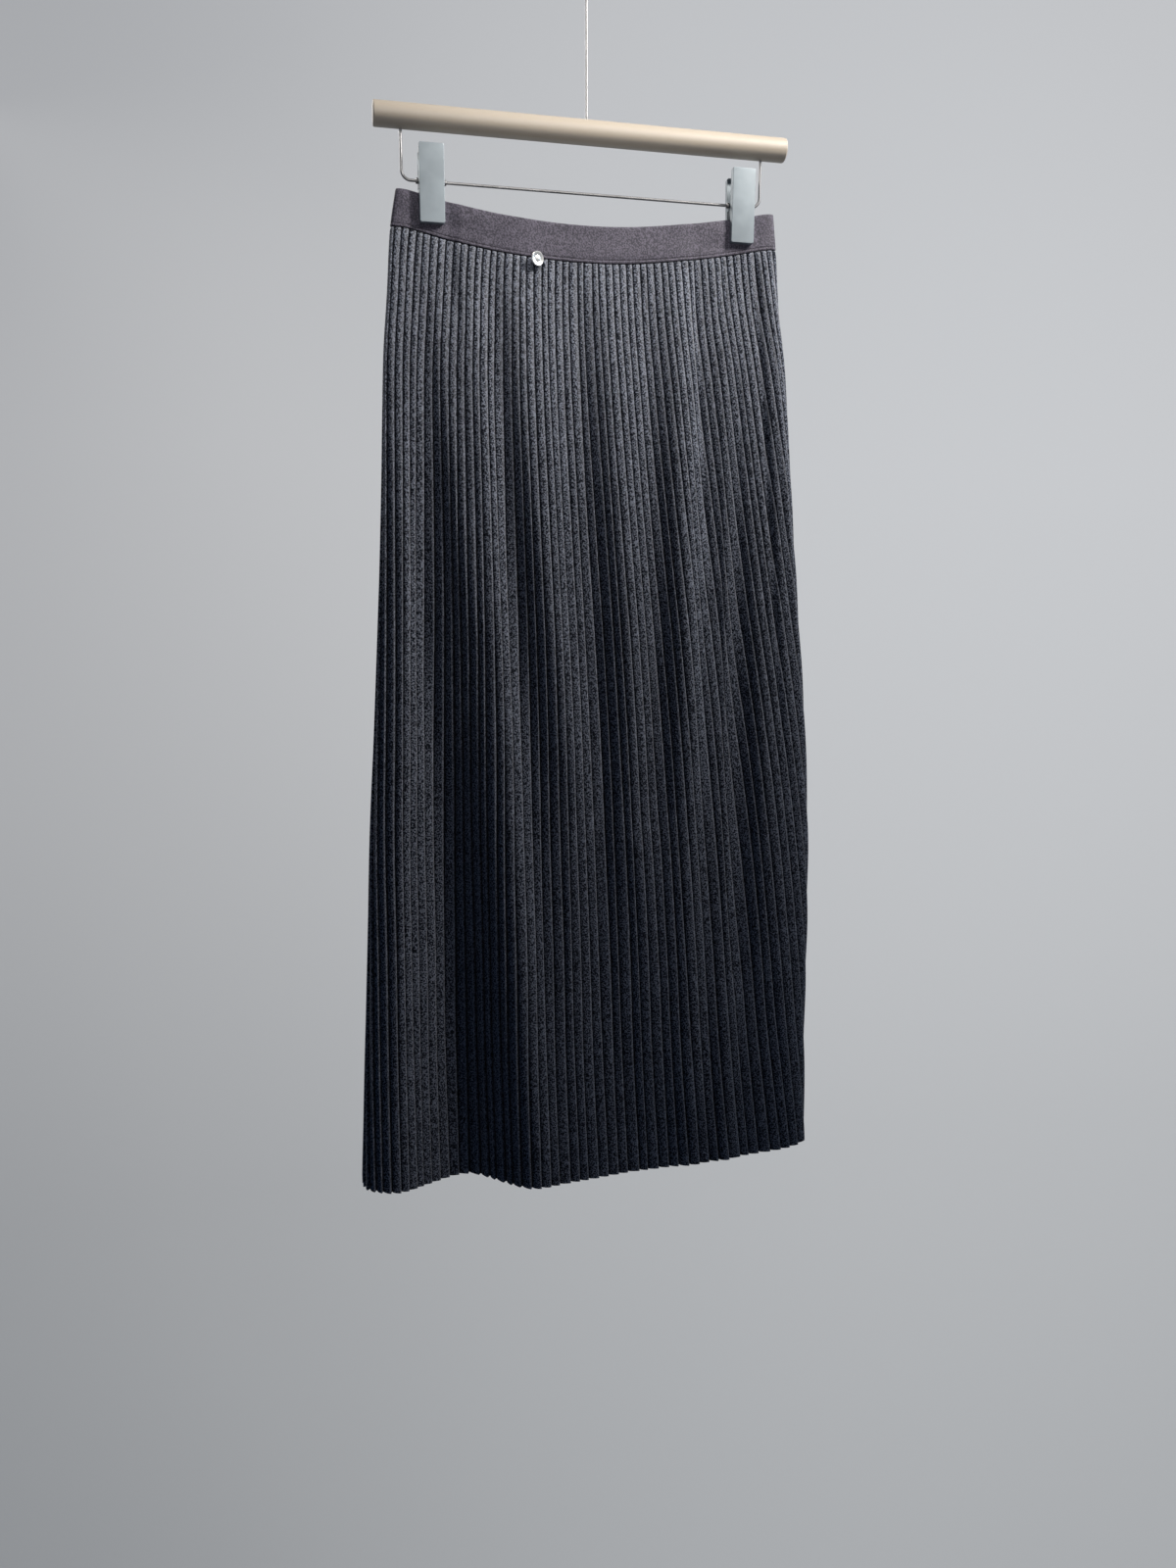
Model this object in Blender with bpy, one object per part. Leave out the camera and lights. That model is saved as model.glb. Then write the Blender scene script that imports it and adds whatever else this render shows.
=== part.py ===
"""Pleated midi skirt hung by two clips from a round wooden bar with a wire hook.

The skirt is a flattened tube of two knife-pleated panels under a plain waistband.  Waist and hem are open.
Frame: metres, +Z up, +X along the bar, -Y is the front.  The origin is the inside top of the hook.
"""

import math

import bmesh
import bpy
import numpy as np
from mathutils import Matrix, Vector

for old in list(bpy.data.objects):
    bpy.data.objects.remove(old, do_unlink=True)

MM = 0.001

# ---- hanger ----
BAR_Z = -160.0 * MM
BAR_LENGTH = 350.0 * MM
BAR_RADIUS = 9.6 * MM
BAR_BEVEL = 0.8 * MM
HOOK_WIRE_RADIUS = 1.1 * MM
HOOK_INNER_RADIUS = 22.0 * MM
HOOK_BACK_BEND = 15.0 * MM
HOOK_END_ANGLE = 196.0
CLIP_WIRE_RADIUS = 1.15 * MM
CLIP_WIRE_X = 153.4 * MM
CLIP_WIRE_Z = BAR_Z - 48.0 * MM
CLIP_WIRE_BEND = 7.5 * MM
FIT_GAP = 0.3 * MM

# ---- clips ----
CLIP_LEFT_X = -129.6 * MM
CLIP_RIGHT_X = 135.8 * MM
JAW_WIDTH = 20.4 * MM
JAW_HEIGHT = 59.8 * MM
BACK_JAW_TOP = 24.0 * MM
BACK_JAW_HEIGHT = 57.0 * MM
LEFT_JAW_TOP = 26.6 * MM
RIGHT_JAW_TOP = 28.2 * MM
JAW_TOP_OUT = 10.2 * MM
JAW_FOOT_OUT = 8.2 * MM
JAW_SHEET = 1.1 * MM
JAW_CORNER = 1.2 * MM
LIP_HEIGHT = 6.0 * MM
LIP_TOP = 9.0 * MM
EAR_OUT = 5.8 * MM
EAR_FOOT = 6.5 * MM
EAR_HALF = 3.6 * MM
NECK_OUT = 6.6 * MM
NECK_TOP = 7.5 * MM
GRIP_OUT = 7.2 * MM
SPRING_RADIUS = 3.6 * MM
SPRING_WIDTH = 13.0 * MM

# ---- waistband and panels ----
PINCH_OUT = 4.2 * MM
PINCH_HALF = 11.2 * MM
PINCH_RAMP = 12.0 * MM
PINCH_FADE = 70.0 * MM
BAND_HEIGHT = 29.0 * MM
BAND_WALL = 2.0 * MM
SEAM_MID_Z = BAR_Z - 104.0 * MM
SEAM_RISE_LEFT = 21.8 * MM
SEAM_RISE_RIGHT = 24.0 * MM
SEAM_SAG_X = 5.0 * MM
SEAM_HALF = 160.0 * MM
SEAM_LEVEL_FROM = 0.97
SEAM_LEVEL_SOFTNESS = 0.06
SEAM_POWER_LEFT = 2.2
SEAM_POWER_RIGHT = 1.65
HEM_MID_Z = BAR_Z - 919.0 * MM
HEM_SIDE_RISE = 9.0 * MM
HEM_HALF = 220.0 * MM
LENGTH = 815.0 * MM
MID_DROP = 310.0 * MM
MID_POWER = 0.75
CORNER_POWER = 5.0
DIRECTION_REACH = 2.5 * MM

PLEATS = 56
RIDGE_AT = 0.74
PLEAT_DEPTH_SEAM = 1.0 * MM
PLEAT_DEPTH_TOP = 2.0 * MM
PLEAT_DEPTH_HEM = 3.7 * MM
PLEAT_OPEN_DROP = 26.0 * MM
WALL_TOP = 1.7 * MM
WALL_HEM = 2.2 * MM
WALL_RAMP = 100.0 * MM
PITCH_SKEW_HEM = 0.13
SIDE_GAP = 0.3 * MM
LEFT_SEAM_DRIFT = 38.0 * MM
RIGHT_SEAM_DRIFT = 104.0 * MM
DRIFT_POWER = 1.4

# Widths of the flattened tube.  Columns: drop below the seam, left edge, right edge (mm).
SECTIONS = (
    (-29.0, -158.5, 165.8),
    (0.0, -163.5, 169.0),
    (50.0, -167.5, 173.0),
    (100.0, -172.0, 179.5),
    (200.0, -176.5, 188.5),
    (300.0, -182.0, 197.5),
    (400.0, -188.5, 207.0),
    (500.0, -195.5, 213.5),
    (600.0, -200.5, 215.8),
    (700.0, -206.0, 216.0),
    (815.0, -212.0, 219.5),
)

# Folds of the front, left to right.
# Columns: name, x at waist, at middle, at hem, bulge at waist, at middle, at hem (mm).
FRONT_FOLDS = (
    ("left crest", -152.0, -163.0, -188.0, 5.2, 20.0, 35.0),
    ("groove A", -130.0, -140.0, -118.0, 4.2, 8.5, 2.0),
    ("crest A", -105.0, -86.0, -54.0, 6.4, 26.0, 38.5),
    ("groove B", -84.0, -67.0, -20.0, 7.0, 20.5, 34.0),
    ("crest B", -54.0, -29.0, 0.0, 8.4, 26.0, 31.0),
    ("groove C", -20.0, -4.0, 20.0, 8.2, 18.0, 27.0),
    ("crest C", 12.0, 35.0, 52.0, 8.8, 25.5, 25.5),
    ("groove C2", 45.0, 61.0, 76.0, 8.0, 21.5, 24.5),
    ("crest D", 78.0, 89.0, 98.0, 7.8, 26.0, 26.5),
    ("groove D", 98.0, 105.0, 116.0, 5.8, 20.5, 25.5),
    ("crest D2", 117.0, 122.0, 132.0, 5.0, 22.0, 28.5),
    ("groove E", 136.0, 141.0, 150.0, 4.2, 13.5, 26.5),
    ("crest E", 153.0, 177.0, 194.0, 5.6, 19.0, 29.5),
)

# Folds of the back, in the same columns; the bulge is away from the front.
BACK_FOLDS = (
    ("left crest", -152.0, -158.0, -186.0, 5.2, 18.0, 27.0),
    ("groove F", -130.0, -136.0, -150.0, 4.2, 13.0, 22.0),
    ("crest F", -100.0, -108.0, -112.0, 6.2, 23.0, 33.0),
    ("groove G", -66.0, -66.0, -58.0, 8.0, 18.0, 25.0),
    ("crest G", -30.0, -32.0, -22.0, 9.3, 25.0, 35.0),
    ("groove H", 8.0, 10.0, 26.0, 8.9, 17.5, 22.0),
    ("crest H", 42.0, 46.0, 64.0, 9.3, 25.0, 32.0),
    ("groove J", 78.0, 82.0, 104.0, 7.0, 18.0, 24.0),
    ("crest J", 106.0, 112.0, 140.0, 5.6, 23.5, 33.0),
    ("groove K", 136.0, 142.0, 168.0, 4.2, 12.0, 23.0),
    ("crest K", 153.0, 172.0, 196.0, 5.6, 18.0, 27.0),
)

# Rows of each panel, as parts of its length: close under the seam, even below.
ROWS = (0.0, 0.014, 0.05, 0.115, 0.195, 0.28, 0.37, 0.47, 0.57, 0.67, 0.78, 0.89, 1.0)

# ---- metal disc ----
DISC_RADIUS = 5.9 * MM
DISC_THICKNESS = 1.6 * MM
DISC_SHANK_RADIUS = 1.3 * MM
DISC_SHANK_LENGTH = 3.7 * MM
DISC_CENTRE = (-44.0 * MM, -13.6 * MM, BAR_Z - 105.0 * MM)
DISC_TURN = 25.0
DISC_NOD = -4.0

# Edges steeper than this stay sharp on round pieces.
SHARP_ANGLE = 35.0


def material(name, colour, roughness, metallic):
    """A plain surface for one kind of piece."""
    made = bpy.data.materials.new(name)
    made.use_nodes = True
    shader = made.node_tree.nodes["Principled BSDF"]
    shader.inputs["Base Color"].default_value = (*colour, 1.0)
    shader.inputs["Roughness"].default_value = roughness
    shader.inputs["Metallic"].default_value = metallic
    made.diffuse_color = (*colour, 1.0)
    return made


CLOTH = material("pleated_cloth", (0.045, 0.045, 0.058), 0.9, 0.0)
BAND_CLOTH = material("waistband_cloth", (0.06, 0.052, 0.066), 0.85, 0.0)
BEECH = material("pale_beech", (0.72, 0.62, 0.47), 0.5, 0.0)
STEEL = material("bright_wire", (0.62, 0.62, 0.62), 0.25, 1.0)
SATIN = material("satin_metal", (0.52, 0.56, 0.58), 0.4, 0.9)
POLISHED = material("polished_metal", (0.8, 0.8, 0.8), 0.15, 1.0)


def add_object(name, mesh_builder, surface, is_round=False):
    """Turn a finished bmesh into one named object; round pieces are shaded smooth."""
    bmesh.ops.recalc_face_normals(mesh_builder, faces=mesh_builder.faces[:])
    mesh = bpy.data.meshes.new(name)
    mesh_builder.to_mesh(mesh)
    mesh_builder.free()
    mesh.materials.append(surface)
    if is_round:
        mesh.shade_smooth()
        mesh.set_sharp_from_angle(angle=math.radians(SHARP_ANGLE))
    made = bpy.data.objects.new(name, mesh)
    bpy.context.scene.collection.objects.link(made)
    return made


def eased(columns, at):
    """A smooth reading of a table of (place, value) at one place."""
    places = [row[0] for row in columns]
    values = [row[1] for row in columns]
    if at <= places[0]:
        return values[0]
    if at >= places[-1]:
        return values[-1]
    k = int(np.searchsorted(places, at)) - 1
    before = max(k - 1, 0)
    after = min(k + 2, len(places) - 1)
    span = places[k + 1] - places[k]
    slope_a = (values[k + 1] - values[before]) / (places[k + 1] - places[before])
    slope_b = (values[after] - values[k]) / (places[after] - places[k])
    t = (at - places[k]) / span
    h00 = 2 * t**3 - 3 * t**2 + 1
    h10 = t**3 - 2 * t**2 + t
    h01 = -2 * t**3 + 3 * t**2
    h11 = t**3 - t**2
    return h00 * values[k] + h10 * span * slope_a + h01 * values[k + 1] + h11 * span * slope_b


LEFT_EDGE = [(row[0] * MM, row[1] * MM) for row in SECTIONS]
RIGHT_EDGE = [(row[0] * MM, row[2] * MM) for row in SECTIONS]


def between(drop, waist, middle, hem):
    """A fold value at one height, from its waist, middle and hem values."""
    if drop <= 0.0:
        return waist
    if drop < MID_DROP:
        share = (drop / MID_DROP) ** MID_POWER
        return waist + (middle - waist) * share
    share = min((drop - MID_DROP) / (LENGTH - MID_DROP), 1.0)
    return middle + (hem - middle) * share


def pinched(value, drop, x):
    """Hold the cloth flat between the jaws, fading out below the waistband."""
    fade = min(max(drop, 0.0) / PINCH_FADE, 1.0)
    for centre in (CLIP_LEFT_X, CLIP_RIGHT_X):
        away = min(max((abs(x - centre) - PINCH_HALF) / PINCH_RAMP, 0.0), 1.0)
        free = max(3 * away**2 - 2 * away**3, fade)
        value = min(value, PINCH_OUT + (value - PINCH_OUT) * free)
    return value


def bulge(folds, drop, x):
    """Distance of the broad surface from the middle plane, before the side corners close it."""
    lines = []
    for fold in folds:
        lines.append((between(drop, *fold[1:4]) * MM, between(drop, *fold[4:7]) * MM))
    value = lines[-1][1]
    if x <= lines[0][0]:
        value = lines[0][1]
    else:
        for (x0, b0), (x1, b1) in zip(lines, lines[1:]):
            if x <= x1:
                t = (x - x0) / (x1 - x0)
                value = b0 + (b1 - b0) * (3 * t**2 - 2 * t**3)
                break
    return pinched(value, drop, x)


def half_section(folds, side, drop, count=420):
    """Points of one half of the flattened tube, from its left side to its right side."""
    left = eased(LEFT_EDGE, drop)
    right = eased(RIGHT_EDGE, drop)
    middle = 0.5 * (left + right)
    half = 0.5 * (right - left)
    points = []
    for k in range(count + 1):
        angle = math.pi * k / count
        cosine = math.cos(angle)
        sine = math.sin(angle)
        x = middle - half * math.copysign(abs(cosine) ** (2.0 / CORNER_POWER), cosine)
        cap = abs(sine) ** (2.0 / CORNER_POWER)
        points.append((x, side * bulge(folds, drop, x) * cap))
    return points


def broad_loop(drop):
    """The whole flattened tube at one height: along the front to the right, back along the rear.

    Returns the points, the length up to each, and the length of the front half.
    """
    front = half_section(FRONT_FOLDS, -1.0, drop)
    rear = half_section(BACK_FOLDS, 1.0, drop)
    points = np.array(front + rear[::-1][1:])
    steps = np.hypot(np.diff(points[:, 0]), np.diff(points[:, 1]))
    lengths = np.concatenate([[0.0], np.cumsum(steps)])
    return points, lengths, lengths[len(front) - 1]


def place_on(points, lengths, at):
    """The point and the outward direction at a length along the loop."""
    around = lengths[-1]
    spots = []
    for shift in (0.0, -DIRECTION_REACH, DIRECTION_REACH):
        where = (at + shift) % around
        spots.append(np.array([np.interp(where, lengths, points[:, k]) for k in (0, 1)]))
    along = (spots[2] - spots[1]) / np.linalg.norm(spots[2] - spots[1])
    return spots[0], np.array([along[1], -along[0]])


def seam_height(x):
    """Height of the seam under the waistband: it sags between the clips."""
    straight = abs(x - SEAM_SAG_X) / SEAM_HALF
    over = math.hypot(straight - SEAM_LEVEL_FROM, SEAM_LEVEL_SOFTNESS)
    away = max(0.5 * (straight + SEAM_LEVEL_FROM - over), 0.0)
    if x < SEAM_SAG_X:
        return SEAM_MID_Z + SEAM_RISE_LEFT * away**SEAM_POWER_LEFT
    return SEAM_MID_Z + SEAM_RISE_RIGHT * away**SEAM_POWER_RIGHT


def hem_height(x):
    """Height of the hem: a little higher at the sides."""
    away = min(abs(x - SEAM_SAG_X) / HEM_HALF, 1.0)
    return HEM_MID_Z + HEM_SIDE_RISE * away**2


def skewed(share, skew):
    """Shares of the width that make the pleats wider towards the right."""
    return share * (1.0 - skew) + skew * share**2


def pleated_panel(name, is_front):
    """One pleated panel: outer and inner skins over the same broad loop, between the side seams."""
    shares = []
    for k in range(PLEATS):
        shares.append((k / PLEATS, 1.0))
        shares.append(((k + RIDGE_AT) / PLEATS, 0.0))
    shares.append((1.0, 1.0))
    outer = []
    inner = []
    builder = bmesh.new()
    for row in ROWS:
        drop = row * LENGTH
        points, lengths, front_length = broad_loop(drop)
        left_seam = LEFT_SEAM_DRIFT * row**DRIFT_POWER
        right_seam = front_length + RIGHT_SEAM_DRIFT * row**DRIFT_POWER
        start = left_seam if is_front else right_seam
        finish = right_seam if is_front else lengths[-1] + left_seam
        start += 0.5 * SIDE_GAP
        finish -= 0.5 * SIDE_GAP
        skew = PITCH_SKEW_HEM * row if is_front else 0.0
        opened = min(drop / PLEAT_OPEN_DROP, 1.0)
        depth = PLEAT_DEPTH_TOP + (PLEAT_DEPTH_HEM - PLEAT_DEPTH_TOP) * row
        depth = PLEAT_DEPTH_SEAM + (depth - PLEAT_DEPTH_SEAM) * opened
        wall = WALL_TOP + (WALL_HEM - WALL_TOP) * min(drop / WALL_RAMP, 1.0)
        outer_row = []
        inner_row = []
        for share, valley in shares:
            at = start + (finish - start) * skewed(share, skew)
            point, outward = place_on(points, lengths, at)
            skin = point - outward * depth * valley
            back = skin - outward * wall
            top = seam_height(point[0]) - FIT_GAP
            z = top + (hem_height(point[0]) - top) * row
            outer_row.append(builder.verts.new((skin[0], skin[1], z)))
            inner_row.append(builder.verts.new((back[0], back[1], z)))
        outer.append(outer_row)
        inner.append(inner_row)
    last = len(shares) - 1
    for upper, lower in zip(outer, outer[1:]):
        for k in range(last):
            builder.faces.new((upper[k], upper[k + 1], lower[k + 1], lower[k]))
    for upper, lower in zip(inner, inner[1:]):
        for k in range(last):
            builder.faces.new((upper[k], lower[k], lower[k + 1], upper[k + 1]))
    for out_row, in_row in ((outer[0], inner[0]), (outer[-1], inner[-1])):
        for k in range(last):
            builder.faces.new((out_row[k], in_row[k], in_row[k + 1], out_row[k + 1]))
    for k in (0, last):
        for level in range(len(ROWS) - 1):
            builder.faces.new((outer[level][k], outer[level + 1][k], inner[level + 1][k], inner[level][k]))
    bmesh.ops.triangulate(builder, faces=builder.faces[:], quad_method="FIXED")
    return add_object(name, builder, CLOTH)


def waistband():
    """The band: one strip closed round the waist, from the seam up to its folded top."""
    side_points = 50
    # Columns: height above the seam as a share, depth into the wall as a share.
    profile = (
        (0.0, 0.0),
        (0.5, 0.0),
        (0.97, 0.0),
        (1.0, 0.35),
        (1.0, 0.7),
        (0.97, 1.0),
        (0.5, 1.0),
        (0.0, 1.0),
    )
    builder = bmesh.new()
    loops = []
    for rise, inward in profile:
        points, lengths, front_length = broad_loop(-rise * BAND_HEIGHT)
        loop = []
        for k in range(2 * side_points):
            if k < side_points:
                at = front_length * k / side_points
            else:
                at = front_length + (lengths[-1] - front_length) * (k - side_points) / side_points
            point, outward = place_on(points, lengths, at)
            skin = point - outward * BAND_WALL * inward
            z = seam_height(point[0]) + rise * BAND_HEIGHT
            loop.append(builder.verts.new((skin[0], skin[1], z)))
        loops.append(loop)
    count = 2 * side_points
    for one, two in zip(loops, loops[1:] + loops[:1]):
        for k in range(count):
            after = (k + 1) % count
            builder.faces.new((one[k], one[after], two[after], two[k]))
    bmesh.ops.triangulate(builder, faces=builder.faces[:], quad_method="FIXED")
    return add_object("waistband", builder, BAND_CLOTH, is_round=True)


def rod(name, path, radius, sides, surface):
    """A round wire along a path that lies in the plane of the bar."""
    builder = bmesh.new()
    rings = []
    for k, point in enumerate(path):
        before = path[max(k - 1, 0)]
        after = path[min(k + 1, len(path) - 1)]
        along = (Vector(after) - Vector(before)).normalized()
        across = along.cross(Vector((0.0, 1.0, 0.0))).normalized()
        ring = []
        for s in range(sides):
            angle = 2.0 * math.pi * (s + 0.5) / sides
            offset = across * math.cos(angle) * radius + Vector((0.0, math.sin(angle) * radius, 0.0))
            ring.append(builder.verts.new(Vector(point) + offset))
        rings.append(ring)
    for one, two in zip(rings, rings[1:]):
        for s in range(sides):
            after = (s + 1) % sides
            builder.faces.new((one[s], one[after], two[after], two[s]))
    builder.faces.new(rings[0])
    builder.faces.new(list(reversed(rings[-1])))
    return add_object(name, builder, surface, is_round=True)


def hanger_hook():
    """Straight stem, a short back bend, and the round hook that goes over a rail."""
    radius = HOOK_INNER_RADIUS + HOOK_WIRE_RADIUS
    centre_z = -HOOK_INNER_RADIUS
    bend = math.acos(HOOK_BACK_BEND / (HOOK_BACK_BEND + radius))
    join_z = centre_z - radius * math.sin(bend)
    straight_z = join_z - HOOK_BACK_BEND * math.sin(bend)
    path = [(0.0, 0.0, BAR_Z + BAR_RADIUS + FIT_GAP)]
    bend_steps = 6
    for k in range(bend_steps):
        angle = bend * k / bend_steps
        x = HOOK_BACK_BEND * (1.0 - math.cos(angle))
        path.append((x, 0.0, straight_z + HOOK_BACK_BEND * math.sin(angle)))
    start = -bend
    finish = math.radians(HOOK_END_ANGLE)
    hook_steps = 26
    for k in range(hook_steps + 1):
        angle = start + (finish - start) * k / hook_steps
        path.append((radius * math.cos(angle), 0.0, centre_z + radius * math.sin(angle)))
    return rod("hanger_hook", path, HOOK_WIRE_RADIUS, 10, STEEL)


def clip_wire():
    """The wire under the bar that carries the clips: down, across and up again."""
    top = BAR_Z - BAR_RADIUS - FIT_GAP
    corner_steps = 5
    path = [(-CLIP_WIRE_X, 0.0, top)]
    for side, turn in ((-1.0, 0.0), (1.0, 1.0)):
        centre_x = side * (CLIP_WIRE_X - CLIP_WIRE_BEND)
        centre_z = CLIP_WIRE_Z + CLIP_WIRE_BEND
        for k in range(corner_steps + 1):
            share = k / corner_steps if turn == 0.0 else 1.0 - k / corner_steps
            angle = 0.5 * math.pi * share
            x = centre_x + side * CLIP_WIRE_BEND * math.cos(angle)
            z = centre_z - CLIP_WIRE_BEND * math.sin(angle)
            path.append((x, 0.0, z))
    path.append((CLIP_WIRE_X, 0.0, top))
    return rod("clip_wire", path, CLIP_WIRE_RADIUS, 10, STEEL)


def hanger_bar():
    """The round wooden bar with softened ends."""
    builder = bmesh.new()
    turn = Matrix.Rotation(0.5 * math.pi, 4, "Y")
    place = Matrix.Translation((0.0, 0.0, BAR_Z))
    bmesh.ops.create_cone(
        builder,
        cap_ends=True,
        segments=48,
        radius1=BAR_RADIUS,
        radius2=BAR_RADIUS,
        depth=BAR_LENGTH,
        matrix=place @ turn,
    )
    caps = [face for face in builder.faces if len(face.verts) > 4]
    rims = [edge for face in caps for edge in face.edges]
    bmesh.ops.bevel(
        builder,
        geom=rims,
        offset=BAR_BEVEL,
        segments=2,
        profile=0.5,
        affect="EDGES",
        material=-1,
    )
    return add_object("hanger_bar", builder, BEECH, is_round=True)


def jaw(name, centre_x, side, top, height):
    """One jaw of a clip: a pressed shell with turned edges, a lip at its foot and ears at the wire."""
    bite = PINCH_OUT + FIT_GAP
    ear = CLIP_WIRE_RADIUS + FIT_GAP
    foot = top - height
    # Columns: distance from the middle plane, height from the wire (outer line down, inner line up).
    outline = (
        (JAW_TOP_OUT, top),
        (JAW_FOOT_OUT, foot),
        (bite, foot),
        (bite, foot + LIP_HEIGHT),
        (EAR_OUT, foot + LIP_TOP),
        (EAR_OUT, -EAR_FOOT),
        (ear, -EAR_HALF),
        (ear, EAR_HALF),
        (NECK_OUT, NECK_TOP),
        (GRIP_OUT, top),
    )
    builder = bmesh.new()
    start = centre_x - 0.5 * JAW_WIDTH
    corners = [builder.verts.new((start, side * out, CLIP_WIRE_Z + up)) for out, up in outline]
    cap = builder.faces.new(corners)
    swept = bmesh.ops.extrude_face_region(builder, geom=[cap])
    moved = [v for v in swept["geom"] if isinstance(v, bmesh.types.BMVert)]
    bmesh.ops.translate(builder, verts=moved, vec=(JAW_WIDTH, 0.0, 0.0))
    bmesh.ops.recalc_face_normals(builder, faces=builder.faces[:])
    inside = []
    for face in builder.faces:
        if face.normal.y * side < -0.2:
            inside.append(face)
    bmesh.ops.inset_region(
        builder,
        faces=inside,
        thickness=JAW_SHEET,
        use_boundary=True,
        use_even_offset=True,
    )
    seen = set()
    for face in inside:
        for vert in face.verts:
            seen.add(vert)
    slope = (JAW_TOP_OUT - JAW_FOOT_OUT) / height
    for vert in seen:
        up = vert.co.z - CLIP_WIRE_Z
        skin = JAW_FOOT_OUT + slope * (up - foot)
        vert.co.y = side * (skin - JAW_SHEET)
    outer_edges = []
    for edge in builder.edges:
        ends = [v.co for v in edge.verts]
        on_front = True
        for co in ends:
            up = co.z - CLIP_WIRE_Z
            skin = JAW_FOOT_OUT + slope * (up - foot)
            if abs(side * co.y - skin) > 1e-6:
                on_front = False
        if on_front:
            outer_edges.append(edge)
    bmesh.ops.bevel(
        builder,
        geom=outer_edges,
        offset=JAW_CORNER,
        segments=2,
        profile=0.5,
        affect="EDGES",
        material=-1,
    )
    bmesh.ops.triangulate(builder, faces=builder.faces[:])
    return add_object(name, builder, SATIN)


def spring(name, centre_x):
    """The coil inside a clip, round the wire."""
    builder = bmesh.new()
    bore = CLIP_WIRE_RADIUS + FIT_GAP
    # Columns: distance from the clip's middle, radius.
    outline = (
        (-0.5 * SPRING_WIDTH, bore),
        (-0.5 * SPRING_WIDTH, SPRING_RADIUS),
        (0.5 * SPRING_WIDTH, SPRING_RADIUS),
        (0.5 * SPRING_WIDTH, bore),
    )
    corners = []
    for along, radius in outline:
        corners.append(builder.verts.new((centre_x + along, 0.0, CLIP_WIRE_Z + radius)))
    edges = []
    for k in range(len(corners)):
        edges.append(builder.edges.new((corners[k], corners[(k + 1) % len(corners)])))
    bmesh.ops.spin(
        builder,
        geom=corners + edges,
        cent=(centre_x, 0.0, CLIP_WIRE_Z),
        axis=(1.0, 0.0, 0.0),
        angle=2.0 * math.pi,
        steps=14,
        use_merge=True,
    )
    bmesh.ops.remove_doubles(builder, verts=builder.verts[:], dist=1e-6)
    return add_object(name, builder, STEEL, is_round=True)


def metal_disc():
    """A small round metal button with a short shank, turned a little to the right."""
    builder = bmesh.new()
    # Columns: radius, distance behind the face.
    outline = (
        (0.0, 0.0),
        (DISC_RADIUS - 0.5 * MM, 0.0),
        (DISC_RADIUS, 0.5 * MM),
        (DISC_RADIUS, DISC_THICKNESS - 0.3 * MM),
        (DISC_RADIUS - 0.3 * MM, DISC_THICKNESS),
        (DISC_SHANK_RADIUS, DISC_THICKNESS),
        (DISC_SHANK_RADIUS, DISC_THICKNESS + DISC_SHANK_LENGTH),
        (0.0, DISC_THICKNESS + DISC_SHANK_LENGTH),
    )
    corners = [builder.verts.new((radius, behind, 0.0)) for radius, behind in outline]
    edges = []
    for k in range(len(corners) - 1):
        edges.append(builder.edges.new((corners[k], corners[k + 1])))
    bmesh.ops.spin(
        builder,
        geom=corners + edges,
        cent=(0.0, 0.0, 0.0),
        axis=(0.0, 1.0, 0.0),
        angle=2.0 * math.pi,
        steps=24,
        use_merge=True,
    )
    bmesh.ops.remove_doubles(builder, verts=builder.verts[:], dist=1e-6)
    turn = Matrix.Rotation(math.radians(DISC_TURN), 4, "Z")
    nod = Matrix.Rotation(math.radians(-DISC_NOD), 4, "X")
    place = Matrix.Translation(DISC_CENTRE)
    bmesh.ops.transform(builder, matrix=place @ turn @ nod, verts=builder.verts[:])
    return add_object("metal_disc", builder, POLISHED, is_round=True)


hanger_bar()
hanger_hook()
clip_wire()
for clip_name, clip_x, clip_top in (
    ("clip_left", CLIP_LEFT_X, LEFT_JAW_TOP),
    ("clip_right", CLIP_RIGHT_X, RIGHT_JAW_TOP),
):
    jaw(clip_name + "_front_jaw", clip_x, -1.0, clip_top, JAW_HEIGHT)
    jaw(clip_name + "_back_jaw", clip_x, 1.0, BACK_JAW_TOP, BACK_JAW_HEIGHT)
    spring(clip_name + "_spring", clip_x)
waistband()
pleated_panel("skirt_front", True)
pleated_panel("skirt_back", False)
metal_disc()
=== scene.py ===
"""Looks of the pleated midi skirt on its clip hanger: cloth, thread, wood, metal and the stage.

Everything is in metres in the part's own frame: +Z up, +X along the bar, -Y the front, the origin at the
inside top of the hook.
"""

import math

import bmesh
import bpy
import numpy as np
from bpy.props import BoolProperty, FloatProperty, FloatVectorProperty, IntProperty, PointerProperty
from bpy.types import Operator, Panel, PropertyGroup
from mathutils import Matrix, Vector


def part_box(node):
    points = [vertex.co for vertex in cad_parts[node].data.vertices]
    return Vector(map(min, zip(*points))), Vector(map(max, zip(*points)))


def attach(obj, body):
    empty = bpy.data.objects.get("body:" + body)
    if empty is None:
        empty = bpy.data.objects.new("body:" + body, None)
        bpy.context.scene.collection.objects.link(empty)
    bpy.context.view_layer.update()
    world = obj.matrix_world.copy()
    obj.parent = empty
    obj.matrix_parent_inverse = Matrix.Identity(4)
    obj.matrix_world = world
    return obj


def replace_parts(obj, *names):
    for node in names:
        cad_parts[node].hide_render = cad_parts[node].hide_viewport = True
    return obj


bl_info = {
    "name": "Pleated Skirt Looks",
    "version": (1, 0, 0),
    "blender": (4, 5, 0),
    "location": "3D View > Sidebar > Pleated Skirt",
    "description": "Dresses a pleated skirt and its clip hanger with cloth, thread, wood and metal",
    "category": "Object",
}

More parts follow.
